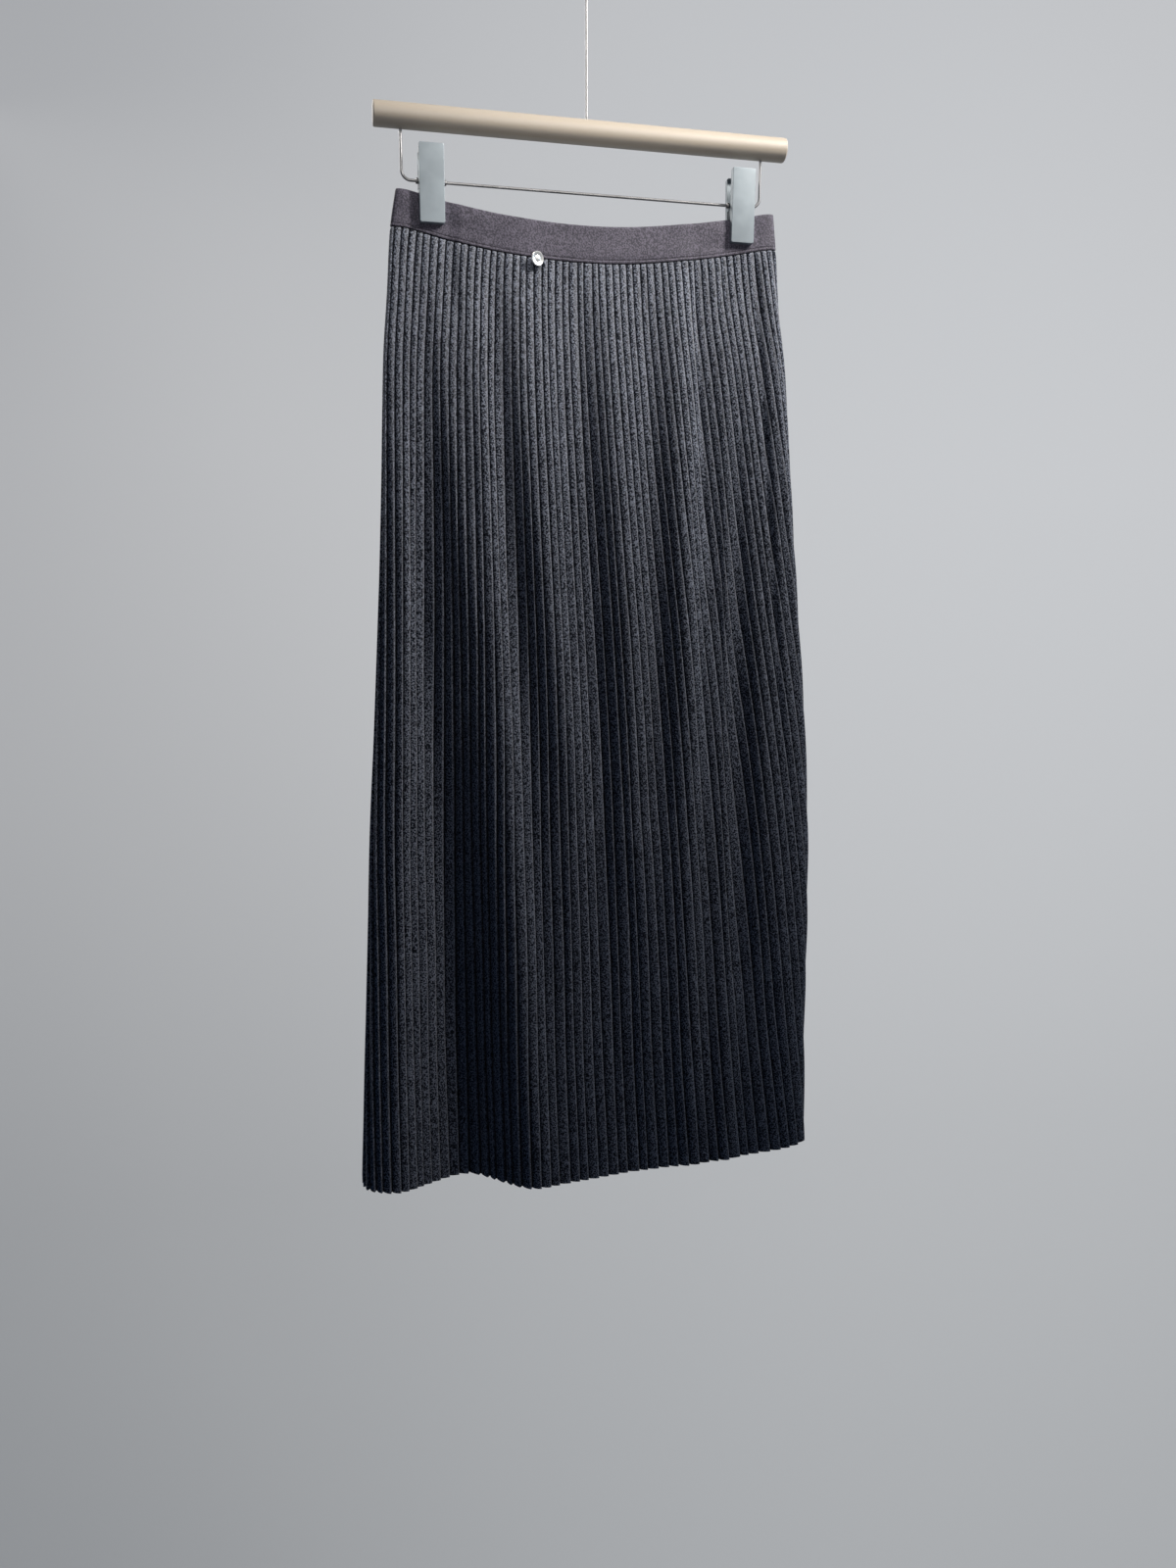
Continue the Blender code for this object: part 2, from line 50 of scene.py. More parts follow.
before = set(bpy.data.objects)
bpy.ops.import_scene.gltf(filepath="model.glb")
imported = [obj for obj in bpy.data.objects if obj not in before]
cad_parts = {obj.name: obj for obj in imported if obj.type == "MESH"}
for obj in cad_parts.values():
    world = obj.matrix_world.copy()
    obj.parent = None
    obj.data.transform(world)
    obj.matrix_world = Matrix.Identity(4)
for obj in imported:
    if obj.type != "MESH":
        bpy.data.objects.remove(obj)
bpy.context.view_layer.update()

MM = 0.001
BODY = "root"

# ---- places read from the frame ----
BAR_LOW, BAR_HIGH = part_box("hanger_bar")
BAR_Z = 0.5 * (BAR_LOW.z + BAR_HIGH.z)
BAR_RADIUS = 0.5 * (BAR_HIGH.z - BAR_LOW.z)
BAR_LENGTH = BAR_HIGH.x - BAR_LOW.x
WIRE_LOW, WIRE_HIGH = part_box("clip_wire")
CLIP_WIRE_RADIUS = 0.5 * (WIRE_HIGH.y - WIRE_LOW.y)
CLIP_WIRE_X = WIRE_HIGH.x - CLIP_WIRE_RADIUS
CLIP_WIRE_Z = WIRE_LOW.z + CLIP_WIRE_RADIUS
HOOK_LOW, HOOK_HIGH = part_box("hanger_hook")
HOOK_WIRE_RADIUS = 0.5 * (HOOK_HIGH.y - HOOK_LOW.y)

# ---- the cloth's form: the flattened tube that both panels and the band lie on ----
LENGTH = 815.0 * MM
SEAM_GAP = 0.3 * MM
SEAM_MID_Z = BAR_Z - 104.0 * MM
SEAM_RISE_LEFT = 21.8 * MM
SEAM_RISE_RIGHT = 24.0 * MM
SEAM_SAG_X = 5.0 * MM
SEAM_HALF = 160.0 * MM
SEAM_LEVEL_FROM = 0.97
SEAM_LEVEL_SOFTNESS = 0.06
SEAM_POWER_LEFT = 2.2
SEAM_POWER_RIGHT = 1.65
HEM_MID_Z = BAR_Z - 919.0 * MM
HEM_SIDE_RISE = 9.0 * MM
HEM_HALF = 220.0 * MM
# In mm: the drop to the middle values of the folds, and the pinch at each clip.
MID_DROP = 310.0
PINCH_OUT = 4.2
PINCH_HALF = 11.2
PINCH_RAMP = 12.0
PINCH_FADE = 70.0
FOLD_POWER = 0.75
CORNER_POWER = 5.0
HALF_POINTS = 421
TANGENT_REACH = 2.5 * MM
LEFT_SEAM_DRIFT = 38.0 * MM
RIGHT_SEAM_DRIFT = 104.0 * MM
DRIFT_POWER = 1.4

# Widths of the flattened tube.  Columns: drop below the seam, left edge, right edge (mm).
SECTIONS = (
    (-29, -158.5, 165.8),
    (0, -163.5, 169),
    (50, -167.5, 173),
    (100, -172, 179.5),
    (200, -176.5, 188.5),
    (300, -182, 197.5),
    (400, -188.5, 207),
    (500, -195.5, 213.5),
    (600, -200.5, 215.8),
    (700, -206, 216),
    (815, -212, 219.5),
)

# Folds of each side, left to right.
# Columns: name, x at waist, at middle, at hem, bulge at waist, at middle, at hem (mm).
FRONT_FOLDS = (
    ("left crest", -152, -163, -188, 5.2, 20, 35),
    ("groove A", -130, -140, -118, 4.2, 8.5, 2),
    ("crest A", -105, -86, -54, 6.4, 26, 38.5),
    ("groove B", -84, -67, -20, 7, 20.5, 34),
    ("crest B", -54, -29, 0, 8.4, 26, 31),
    ("groove C", -20, -4, 20, 8.2, 18, 27),
    ("crest C", 12, 35, 52, 8.8, 25.5, 25.5),
    ("groove C2", 45, 61, 76, 8, 21.5, 24.5),
    ("crest D", 78, 89, 98, 7.8, 26, 26.5),
    ("groove D", 98, 105, 116, 5.8, 20.5, 25.5),
    ("crest D2", 117, 122, 132, 5, 22, 28.5),
    ("groove E", 136, 141, 150, 4.2, 13.5, 26.5),
    ("crest E", 153, 177, 194, 5.6, 19, 29.5),
)
BACK_FOLDS = (
    ("left crest", -152, -158, -186, 5.2, 18, 27),
    ("groove F", -130, -136, -150, 4.2, 13, 22),
    ("crest F", -100, -108, -112, 6.2, 23, 33),
    ("groove G", -66, -66, -58, 8, 18, 25),
    ("crest G", -30, -32, -22, 9.3, 25, 35),
    ("groove H", 8, 10, 26, 8.9, 17.5, 22),
    ("crest H", 42, 46, 64, 9.3, 25, 32),
    ("groove J", 78, 82, 104, 7, 18, 24),
    ("crest J", 106, 112, 140, 5.6, 23.5, 33),
    ("groove K", 136, 142, 168, 4.2, 12, 23),
    ("crest K", 153, 172, 196, 5.6, 18, 27),
)

# ---- pleats ----
PLEATS = 56
PLEAT_DEPTH_TOP = 2.3 * MM
PLEAT_DEPTH_HEM = 3.7 * MM
PITCH_SKEW_HEM = 0.13
PITCH_SPREAD = 0.11
PLEAT_FULL_DROP = 330.0
TUCK_DROPS = (0.0, 0.4, 1.0, 1.9, 3.2, 6.0, 12.0)
TUCK_LENGTH = 3.2
TUCK_DEPTH = 1.7 * MM
PANEL_ROWS = 68
SEAM_LAP = 0.7 * MM
SEAM_LAP_DEPTH = 0.3 * MM

# One knife pleat, from its inner fold on the left to the next: at the waist a flat finger beside a narrow
# slot, lower down a leaning face with its pressed edge over the next pleat.
# Columns: share across and share of the depth at the waist, the same lower down.
PLEAT_PROFILE = (
    (0.000, 1.00, 0.000, 1.00),
    (0.035, 0.64, 0.045, 0.84),
    (0.065, 0.30, 0.110, 0.66),
    (0.130, 0.13, 0.270, 0.43),
    (0.290, 0.07, 0.450, 0.25),
    (0.500, 0.03, 0.630, 0.11),
    (0.700, 0.00, 0.780, 0.03),
    (0.810, 0.02, 0.870, 0.00),
    (0.865, 0.13, 0.915, 0.07),
    (0.890, 0.42, 0.922, 0.34),
    (0.915, 0.84, 0.925, 0.78),
)

# Main creases of each panel.  Columns: share of the width where it starts and ends,
# drop where it starts and ends, half width, depth inwards (mm; a negative depth is a ridge).
FRONT_CREASES = (
    (0.045, 0.105, 10, 420, 10, 2.6),
    (0.115, 0.205, 5, 330, 12, -3.8),
    (0.258, 0.312, 5, 430, 10, 2.8),
    (0.310, 0.368, 5, 440, 12, -3.9),
    (0.475, 0.420, 5, 480, 10, 2.6),
    (0.535, 0.480, 5, 540, 12, -4.2),
    (0.640, 0.560, 30, 480, 9, 1.9),
    (0.710, 0.560, 5, 560, 11, -3.4),
    (0.785, 0.685, 5, 480, 8, 1.4),
    (0.800, 0.655, 15, 660, 14, 5),
    (0.880, 0.720, 15, 660, 9, -3.6),
    (0.965, 0.830, 5, 400, 8, -1.6),
    (0.772, 0.705, 5, 310, 3.2, 3),
    (0.930, 0.825, 5, 420, 3.5, 3.2),
    (0.958, 0.875, 30, 430, 2.6, -2),
    (0.985, 0.915, 60, 480, 2.6, -1.8),
    (0.070, 0.068, 300, 860, 11, 3),
    (0.150, 0.165, 420, 860, 11, 2.6),
    (0.220, 0.292, 330, 830, 17, -2.8),
    (0.540, 0.565, 480, 860, 28, -4.5),
    (0.800, 0.745, 420, 830, 8, -1.5),
)
BACK_CREASES = (
    (0.060, 0.120, 10, 330, 10, 2.4),
    (0.135, 0.180, 20, 460, 12, -3.6),
    (0.215, 0.235, 40, 470, 10, 2.8),
    (0.300, 0.290, 10, 520, 13, -3.8),
    (0.360, 0.340, 30, 330, 9, 2.4),
    (0.470, 0.455, 60, 620, 11, 3),
    (0.530, 0.545, 5, 450, 12, -3.8),
    (0.600, 0.615, 30, 380, 9, 2.4),
    (0.700, 0.730, 50, 600, 13, -3.6),
    (0.790, 0.800, 20, 300, 9, 2.4),
    (0.890, 0.850, 10, 360, 9, -2.6),
)


def eased(places, values, at):
    """A smooth reading of a table at one place, level past its ends."""
    at = min(max(at, places[0]), places[-1])
    k = min(max(int(np.searchsorted(places, at)) - 1, 0), len(places) - 2)
    before = max(k - 1, 0)
    after = min(k + 2, len(places) - 1)
    span = places[k + 1] - places[k]
    slope_a = span * (values[k + 1] - values[before]) / (places[k + 1] - places[before])
    slope_b = span * (values[after] - values[k]) / (places[after] - places[k])
    rise = values[k + 1] - values[k]
    bend = slope_a + slope_b - 2.0 * rise
    t = (at - places[k]) / span
    return values[k] + t * (slope_a + t * (rise - slope_a - bend + t * bend))


def soft_step(t):
    """0 to 1, level at both ends."""
    t = np.clip(t, 0.0, 1.0)
    return t * t * (3.0 - 2.0 * t)


def between(drop, waist, middle, hem):
    """A fold value at one drop (mm), from its waist, middle and hem values."""
    if drop <= 0.0:
        return waist
    if drop < MID_DROP:
        return waist + (middle - waist) * (drop / MID_DROP) ** FOLD_POWER
    share = min((drop - MID_DROP) / (LENGTH / MM - MID_DROP), 1.0)
    return middle + (hem - middle) * share


def clip_centres():
    """The middle of each clip along the bar, in mm."""
    centres = []
    for node in ("clip_left_front_jaw", "clip_right_front_jaw"):
        low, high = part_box(node)
        centres.append(0.5 * (low.x + high.x) / MM)
    return centres


def bulge(folds, drop, x):
    """Distance of the broad surface from the middle plane at points x (mm), flat between the jaws."""
    lines = np.array([between(drop, fold[1], fold[2], fold[3]) for fold in folds])
    depths = np.array([between(drop, fold[4], fold[5], fold[6]) for fold in folds])
    k = np.clip(np.searchsorted(lines, x) - 1, 0, len(lines) - 2)
    value = depths[k] + (depths[k + 1] - depths[k]) * soft_step((x - lines[k]) / (lines[k + 1] - lines[k]))
    fade = min(max(drop, 0.0) / PINCH_FADE, 1.0)
    for centre in clip_centres():
        free = np.maximum(soft_step((np.abs(x - centre) - PINCH_HALF) / PINCH_RAMP), fade)
        value = np.minimum(value, PINCH_OUT + (value - PINCH_OUT) * free)
    return value


def half_section(folds, side, drop):
    """Points (mm) of one half of the flattened tube, from its left side to its right side."""
    drops, lefts, rights = zip(*SECTIONS)
    left = eased(drops, lefts, drop)
    right = eased(drops, rights, drop)
    angle = np.linspace(0.0, math.pi, HALF_POINTS)
    reach = np.sign(np.cos(angle)) * np.abs(np.cos(angle)) ** (2.0 / CORNER_POWER)
    x = 0.5 * (left + right) - 0.5 * (right - left) * reach
    cap = np.abs(np.sin(angle)) ** (2.0 / CORNER_POWER)
    return np.column_stack([x, side * bulge(folds, drop, x) * cap])


def broad_loop(drop):
    """The flattened tube at one drop (mm): points in metres, the length up to each, the front's length."""
    front = half_section(FRONT_FOLDS, -1.0, drop)
    rear = half_section(BACK_FOLDS, 1.0, drop)
    points = np.vstack([front, rear[::-1][1:]]) * MM
    steps = np.hypot(np.diff(points[:, 0]), np.diff(points[:, 1]))
    lengths = np.concatenate([[0.0], np.cumsum(steps)])
    return points, lengths, lengths[len(front) - 1]


def place_on(points, lengths, at):
    """The points at lengths along the loop, with the directions along it and outwards."""
    spots = []
    for shift in (0.0, -TANGENT_REACH, TANGENT_REACH):
        where = (at + shift) % lengths[-1]
        spots.append(np.column_stack([np.interp(where, lengths, points[:, k]) for k in (0, 1)]))
    along = spots[2] - spots[1]
    along /= np.linalg.norm(along, axis=1)[:, None]
    return spots[0], along, np.column_stack([along[:, 1], -along[:, 0]])


def seam_height(x):
    """Height of the seam under the waistband: it sags between the clips."""
    straight = np.abs(x - SEAM_SAG_X) / SEAM_HALF
    level = np.hypot(straight - SEAM_LEVEL_FROM, SEAM_LEVEL_SOFTNESS)
    away = np.maximum(0.5 * (straight + SEAM_LEVEL_FROM - level), 0.0)
    left = SEAM_MID_Z + SEAM_RISE_LEFT * away**SEAM_POWER_LEFT
    right = SEAM_MID_Z + SEAM_RISE_RIGHT * away**SEAM_POWER_RIGHT
    return np.where(x < SEAM_SAG_X, left, right)


def hem_height(x):
    """Height of the hem: a little higher at the sides."""
    away = np.minimum(np.abs(x - SEAM_SAG_X) / HEM_HALF, 1.0)
    return HEM_MID_Z + HEM_SIDE_RISE * away**2


# ---- user settings ----

COLOUR = {"subtype": "COLOR", "min": 0.0, "max": 1.0}


class ClothSettings(PropertyGroup):
    """Sizes and colours of the pleated cloth, the waistband and the thread."""

    thickness: FloatProperty(
        name="Cloth Thickness",
        description="Thickness of one layer of the pleated cloth",
        default=0.8 * MM,
        min=0.3 * MM,
        max=2.0 * MM,
        unit="LENGTH",
    )
    unevenness: FloatProperty(
        name="Pleat Unevenness",
        description="How far the pleats wander and vary in depth, as a share of the usual amount",
        default=1.0,
        min=0.0,
        max=3.0,
        subtype="FACTOR",
    )
    dark_colour: FloatVectorProperty(
        name="Dark Fibre",
        description="Colour of the dark fibres of the pleated cloth",
        default=(0.010, 0.012, 0.018),
        **COLOUR,
    )
    light_colour: FloatVectorProperty(
        name="Light Fibre",
        description="Colour of the light fibres of the pleated cloth",
        default=(0.200, 0.219, 0.270),
        **COLOUR,
    )
    band_dark_colour: FloatVectorProperty(
        name="Band Dark Yarn",
        description="Colour of the dark yarns of the waistband",
        default=(0.030, 0.028, 0.041),
        **COLOUR,
    )
    band_light_colour: FloatVectorProperty(
        name="Band Light Yarn",
        description="Colour of the light yarns of the waistband",
        default=(0.118, 0.107, 0.144),
        **COLOUR,
    )
    stitch_length: FloatProperty(
        name="Stitch Length",
        description="Length of one stitch of the band's edge seam",
        default=2.3 * MM,
        min=1.0 * MM,
        max=6.0 * MM,
        unit="LENGTH",
    )


class HangerSettings(PropertyGroup):
    """Colours of the hanger's wood and metals."""

    wood_light: FloatVectorProperty(
        name="Light Wood",
        description="Colour of the pale rings of the bar",
        default=(0.405, 0.365, 0.315),
        **COLOUR,
    )
    wood_dark: FloatVectorProperty(
        name="Wood Grain",
        description="Colour of the darker grain of the bar",
        default=(0.33, 0.28, 0.215),
        **COLOUR,
    )
    clip_colour: FloatVectorProperty(
        name="Clip Colour",
        description="Colour of the satin clip plates",
        default=(0.258, 0.300, 0.330),
        **COLOUR,
    )
    coil_turns: IntProperty(
        name="Spring Turns",
        description="Turns of the spring inside each clip",
        default=7,
        min=2,
        max=14,
    )


class StageSettings(PropertyGroup):
    """Floor, backdrop and light."""

    backdrop_colour: FloatVectorProperty(
        name="Backdrop",
        description="Colour of the pale floor and backdrop",
        default=(0.50, 0.505, 0.51),
        **COLOUR,
    )
    key_power: FloatProperty(
        name="Key Light",
        description="Power of the key light in watts; the other lights follow it",
        default=3.75,
        min=0.0,
        max=200.0,
    )
    shown: BoolProperty(
        name="Show Backdrop",
        description="Whether the floor and backdrop are built",
        default=True,
    )


# ---- shader nodes ----

# Yarn: how fine its fine and coarse fibres, its soft patches and its twill lines are (per metre), the
# noise values between which fibres turn from dark to light, and the share of light fibre.
FINE_FIBRES = 1350.0
COARSE_FIBRES = 820.0
PATCHES = 26.0
TWILL_LINES = 260.0
FIBRE_DARK = 0.41
FIBRE_LIGHT = 0.61
LIGHT_SHARE = 0.42
# Folds: how sharply the painted shade darkens them inwards, how far out from a pressed edge the painted
# highlight reaches, and the colours of the painted shade and the painted highlight.
FOLD_CURVE = 1.9
HIGHLIGHT_EDGE_REACH = 0.06
PAINTED_FOLD_SHADE = (0.002, 0.002, 0.003, 1.0)
PAINTED_EDGE_HIGHLIGHT = (0.30, 0.31, 0.34, 1.0)


def feed(tree, node, inputs):
    """Gives inputs of a node, by name or number, their values or links."""
    for label, value in inputs.items():
        if isinstance(value, (int, float, tuple)):
            node.inputs[label].default_value = value
        else:
            tree.links.new(value, node.inputs[label])


def new_node(tree, kind, inputs, **options):
    """A shader node with its options and inputs set."""
    node = tree.nodes.new("ShaderNode" + kind)
    for option, value in options.items():
        setattr(node, option, value)
    feed(tree, node, inputs)
    return node


def math_node(tree, operation, first, second, clamp=False):
    """The result of a Math node."""
    return new_node(tree, "Math", {0: first, 1: second}, operation=operation, use_clamp=clamp).outputs[0]


def plus(tree, first, second, clamp=False):
    """Two values added."""
    return math_node(tree, "ADD", first, second, clamp)


def times(tree, first, second):
    """Two values multiplied."""
    return math_node(tree, "MULTIPLY", first, second)


def scaled(tree, vector, scale):
    """A vector multiplied by three numbers."""
    return new_node(tree, "VectorMath", {0: vector, 1: scale}, operation="MULTIPLY").outputs[0]


def mix_colour(tree, factor, first, second):
    """A mix of two colours."""
    return new_node(tree, "Mix", {0: factor, 6: first, 7: second}, data_type="RGBA").outputs[2]


def mix_shader(tree, factor, first, second):
    """A mix of the shaders of two nodes."""
    return new_node(tree, "MixShader", {0: factor, 1: first.outputs[0], 2: second.outputs[0]})


def noise_value(tree, vector, scale, detail, roughness):
    """A Noise texture's value."""
    inputs = {"Vector": vector, "Scale": scale, "Detail": detail, "Roughness": roughness}
    return new_node(tree, "TexNoise", inputs).outputs["Fac"]


def ranged(tree, value, low, high):
    """How far a value is from low to high, held between 0 and 1."""
    inputs = {"Value": value, "From Min": low, "From Max": high}
    return new_node(tree, "MapRange", inputs, clamp=True).outputs["Result"]


def new_group(name, inputs, outputs):
    """A shader node group and its sockets, whose inputs and outputs are given as {name: kind}."""
    group = bpy.data.node_groups.new(name, "ShaderNodeTree")
    for way, sockets in (("INPUT", inputs), ("OUTPUT", outputs)):
        for label, kind in sockets.items():
            group.interface.new_socket(name=label, in_out=way, socket_type="NodeSocket" + kind)
    return group, group.nodes.new("NodeGroupInput").outputs, group.nodes.new("NodeGroupOutput")


def melange_group(name):
    """Heathered yarn: dark and light fibres, soft patches and a fine twill, for cloth and thread."""
    inputs = {"Place": "Vector", "Dark": "Color", "Light": "Color", "Fleck": "Float", "Twill": "Float"}
    group, entry, leave = new_group(name, inputs, {"Colour": "Color", "Height": "Float"})
    place = entry["Place"]
    fine = noise_value(group, place, FINE_FIBRES, 0.0, 0.5)
    coarse = noise_value(group, scaled(group, place, (1.0, 1.0, 0.9)), COARSE_FIBRES, 0.0, 0.5)
    patch = noise_value(group, place, PATCHES, 2.0, 0.5)
    fibres = plus(group, times(group, fine, 0.35), times(group, coarse, 0.65))
    spread = ranged(group, fibres, FIBRE_DARK, FIBRE_LIGHT)
    share = times(group, plus(group, spread, -0.5), entry["Fleck"])
    tone = times(group, plus(group, patch, -0.5), 0.35)
    amount = plus(group, plus(group, share, tone), LIGHT_SHARE, clamp=True)
    colour = mix_colour(group, amount, entry["Dark"], entry["Light"])
    # Diagonal twill lines across the two directions of the cloth's face.
    lines = {"Vector": place, "Scale": TWILL_LINES, "Distortion": 1.5, "Detail": 1.0}
    wave = new_node(group, "TexWave", lines, wave_type="BANDS", bands_direction="DIAGONAL")
    twill = times(group, wave.outputs["Fac"], entry["Twill"])
    feed(group, leave, {"Colour": colour, "Height": plus(group, times(group, fibres, 0.8), twill)})
    return group


def painted_fold_shade_and_highlight_group(name):
    """Painted shade at the bottom of folds and a painted highlight on pressed edges, from a 0 to 1 fold
    attribute.
    """
    inputs = {"Colour": "Color", "Fold": "Float", "Depth": "Float", "Edge": "Float"}
    group, entry, leave = new_group(name, inputs, {"Colour": "Color"})
    # Painted shade: the colour turns near black deep in each fold.
    deep = times(group, math_node(group, "POWER", entry["Fold"], FOLD_CURVE), entry["Depth"])
    dark = mix_colour(group, deep, entry["Colour"], PAINTED_FOLD_SHADE)
    # Painted highlight: the colour turns pale grey along the pressed edge.
    edge = times(group, ranged(group, entry["Fold"], HIGHLIGHT_EDGE_REACH, 0.0), entry["Edge"])
    feed(group, leave, {"Colour": mix_colour(group, edge, dark, PAINTED_EDGE_HIGHLIGHT)})
    return group


def scuff_group(name):
    """Fine scratches and smudges for metal and varnish: a roughness and a height."""
    inputs = {"Place": "Vector", "Roughness": "Float", "Spread": "Float"}
    group, entry, leave = new_group(name, inputs, {"Roughness": "Float", "Height": "Float"})
    smudge = noise_value(group, entry["Place"], 120.0, 3.0, 0.6)
    streak = noise_value(group, scaled(group, entry["Place"], (2.0, 2.0, 0.08)), 1400.0, 2.0, 0.6)
    both = plus(group, times(group, smudge, 0.6), times(group, streak, 0.4))
    spread = times(group, plus(group, both, -0.5), entry["Spread"])
    feed(group, leave, {"Roughness": plus(group, spread, entry["Roughness"], clamp=True), "Height": streak})
    return group


# ---- materials ----


def new_material(name):
    """A node material: the tree, its shader and Object coordinates."""
    made = bpy.data.materials.new(name)
    made.use_nodes = True
    tree = made.node_tree
    return made, tree, tree.nodes["Principled BSDF"], new_node(tree, "TexCoord", {}).outputs["Object"]


def group_outputs(tree, name, build, inputs):
    """The outputs of a shader group, which is built once."""
    group = bpy.data.node_groups.get(name) or build(name)
    return new_node(tree, "Group", inputs, node_tree=group).outputs


def add_bump(tree, shader, height, distance, strength=1.0):
    """Raises a material's surface by a height."""
    bump = new_node(tree, "Bump", {"Strength": strength, "Distance": distance, "Height": height})
    feed(tree, shader, {"Normal": bump.outputs["Normal"]})


def solid(colour):
    """Three parts of a colour as a four-part colour."""
    return (*colour, 1.0)


def melange_material(name, yarns, fleck, twill, nap, finish):
    """Cloth or thread of dark and light yarns; nap is its bump's height, finish the shader's own values."""
    made, tree, shader, place = new_material(name)
    dark, light = (solid(yarn) for yarn in yarns)
    inputs = {"Place": place, "Dark": dark, "Light": light, "Fleck": fleck, "Twill": twill}
    melange = group_outputs(tree, "Melange", melange_group, inputs)
    feed(tree, shader, {"Base Color": melange["Colour"], **finish})
    add_bump(tree, shader, melange["Height"], nap)
    return made, tree, shader, melange


def pleated_cloth_material(name):
    """Charcoal melange wool, with painted shade inside the pleats, a painted highlight on pressed edges, and
    soft nap.
    """
    settings = bpy.context.scene.skirt_cloth
    yarns = (settings.dark_colour, settings.light_colour)
    finish = {"Roughness": 0.85, "Specular IOR Level": 0.04, "Sheen Weight": 0.08, "Sheen Roughness": 0.45}
    made, tree, shader, melange = melange_material(
        name, yarns, fleck=1.2, twill=0.35, nap=0.25 * MM, finish=finish
    )
    # The fold attribute drives painted shade deep in the pleats and a painted highlight on their pressed
    # edges.
    fold = new_node(tree, "Attribute", {}, attribute_name="fold").outputs["Fac"]
    inputs = {"Colour": melange["Colour"], "Fold": fold, "Depth": 0.92, "Edge": 0.40}
    shade = group_outputs(tree, "Fold shade", painted_fold_shade_and_highlight_group, inputs)
    feed(tree, shader, {"Base Color": shade["Colour"]})
    return made


def waistband_material(name):
    """Smooth aubergine-grey band cloth with a fine fleck and a soft sheen."""
    settings = bpy.context.scene.skirt_cloth
    yarns = (settings.band_dark_colour, settings.band_light_colour)
    finish = {"Roughness": 0.72, "Specular IOR Level": 0.35, "Sheen Weight": 0.18, "Sheen Roughness": 0.4}
    return melange_material(name, yarns, fleck=0.8, twill=0.25, nap=0.12 * MM, finish=finish)[0]


def thread_material(name):
    """Matt dark sewing thread with a twist."""
    yarns = ((0.012, 0.010, 0.014), (0.050, 0.044, 0.055))
    finish = {"Roughness": 0.6}
    return melange_material(name, yarns, fleck=0.6, twill=0.6, nap=0.08 * MM, finish=finish)[0]


HEART_FORWARD = 4.0 * MM
HEART_RISE = 3.0 * MM


def wood_material(name):
    """Pale beech: long faint grain, short flecks, rings on the cut ends, clear matt varnish."""
    settings = bpy.context.scene.skirt_hanger
    made, tree, shader, place = new_material(name)
    heart = {"Vector": place, "Location": (0.0, HEART_FORWARD, -BAR_Z - HEART_RISE)}
    centred = new_node(tree, "Mapping", heart).outputs["Vector"]
    drawn_out = scaled(tree, centred, (0.12, 1.0, 1.0))
    years = {"Vector": drawn_out, "Scale": 95.0, "Distortion": 2.2, "Detail": 2.0, "Detail Scale": 0.6}
    rings = new_node(tree, "TexWave", years, wave_type="RINGS", rings_direction="X")
    fleck = noise_value(tree, drawn_out, 900.0, 3.0, 0.6)
    tone = noise_value(tree, scaled(tree, centred, (0.3, 1.0, 1.0)), 35.0, 2.0, 0.5)
    grain = times(tree, rings.outputs["Fac"], 0.35)
    specks = times(tree, ranged(tree, fleck, 0.55, 0.75), 0.35)
    shade = plus(tree, plus(tree, grain, specks), times(tree, tone, 0.3))
    colour = mix_colour(tree, shade, solid(settings.wood_light), solid(settings.wood_dark))
    scuffs = group_outputs(tree, "Scuffs", scuff_group, {"Place": place, "Roughness": 0.55, "Spread": 0.2})
    feed(tree, shader, {"Base Color": colour, "Roughness": scuffs["Roughness"]})
    add_bump(tree, shader, fleck, 0.05 * MM, 0.6)
    return made


def metal_material(name, colour, metallic, roughness, spread, bump):
    """A metal with fine scratches."""
    made, tree, shader, place = new_material(name)
    tone = ranged(tree, noise_value(tree, place, 60.0, 2.0, 0.5), 0.35, 0.65)
    toned = mix_colour(tree, tone, solid(0.85 * part for part in colour), solid(colour))
    inputs = {"Place": place, "Roughness": roughness, "Spread": spread}
    scuffs = group_outputs(tree, "Scuffs", scuff_group, inputs)
    feed(tree, shader, {"Base Color": toned, "Metallic": metallic, "Roughness": scuffs["Roughness"]})
    add_bump(tree, shader, scuffs["Height"], bump)
    return made


def wire_material(name):
    """Bright drawn wire."""
    colour = (0.25, 0.25, 0.255)
    return metal_material(name, colour, metallic=1.0, roughness=0.44, spread=0.10, bump=0.004 * MM)


def clip_material(name):
    """Satin blue-grey clip plate."""
    colour = bpy.context.scene.skirt_hanger.clip_colour
    return metal_material(name, colour, metallic=0.25, roughness=0.48, spread=0.10, bump=0.02 * MM)


def button_material(name):
    """Polished silver."""
    colour = (0.90, 0.89, 0.87)
    return metal_material(name, colour, metallic=1.0, roughness=0.28, spread=0.12, bump=0.006 * MM)


LOOKS = {
    "pleated_cloth_look": pleated_cloth_material,
    "waistband_look": waistband_material,
    "thread_look": thread_material,
    "pale_beech_look": wood_material,
    "bright_wire_look": wire_material,
    "satin_clip_look": clip_material,
    "silver_button_look": button_material,
}


# ---- helpers for pieces ----


def finish_piece(name, builder, look, smooth_angle):
    """A finished mesh as a named piece that rides on the part's one body."""
    mesh = bpy.data.meshes.new(name)
    builder.edges.index_update()
    open_rims = [edge.index for edge in builder.edges if edge.is_boundary]
    builder.to_mesh(mesh)
    builder.free()
    mesh.materials.append(bpy.data.materials.get(look) or LOOKS[look](look))
    mesh.shade_smooth()
    mesh.set_sharp_from_angle(angle=math.radians(smooth_angle))
    for k in open_rims:
        mesh.edges[k].use_edge_sharp = True
    piece = bpy.data.objects.new(name, mesh)
    bpy.context.scene.collection.objects.link(piece)
    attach(piece, BODY)
    return piece


def closed_piece(name, builder, look, smooth_angle):
    """A finished piece of closed meshes, with their faces turned outwards."""
    bmesh.ops.recalc_face_normals(builder, faces=builder.faces[:])
    return finish_piece(name, builder, look, smooth_angle)


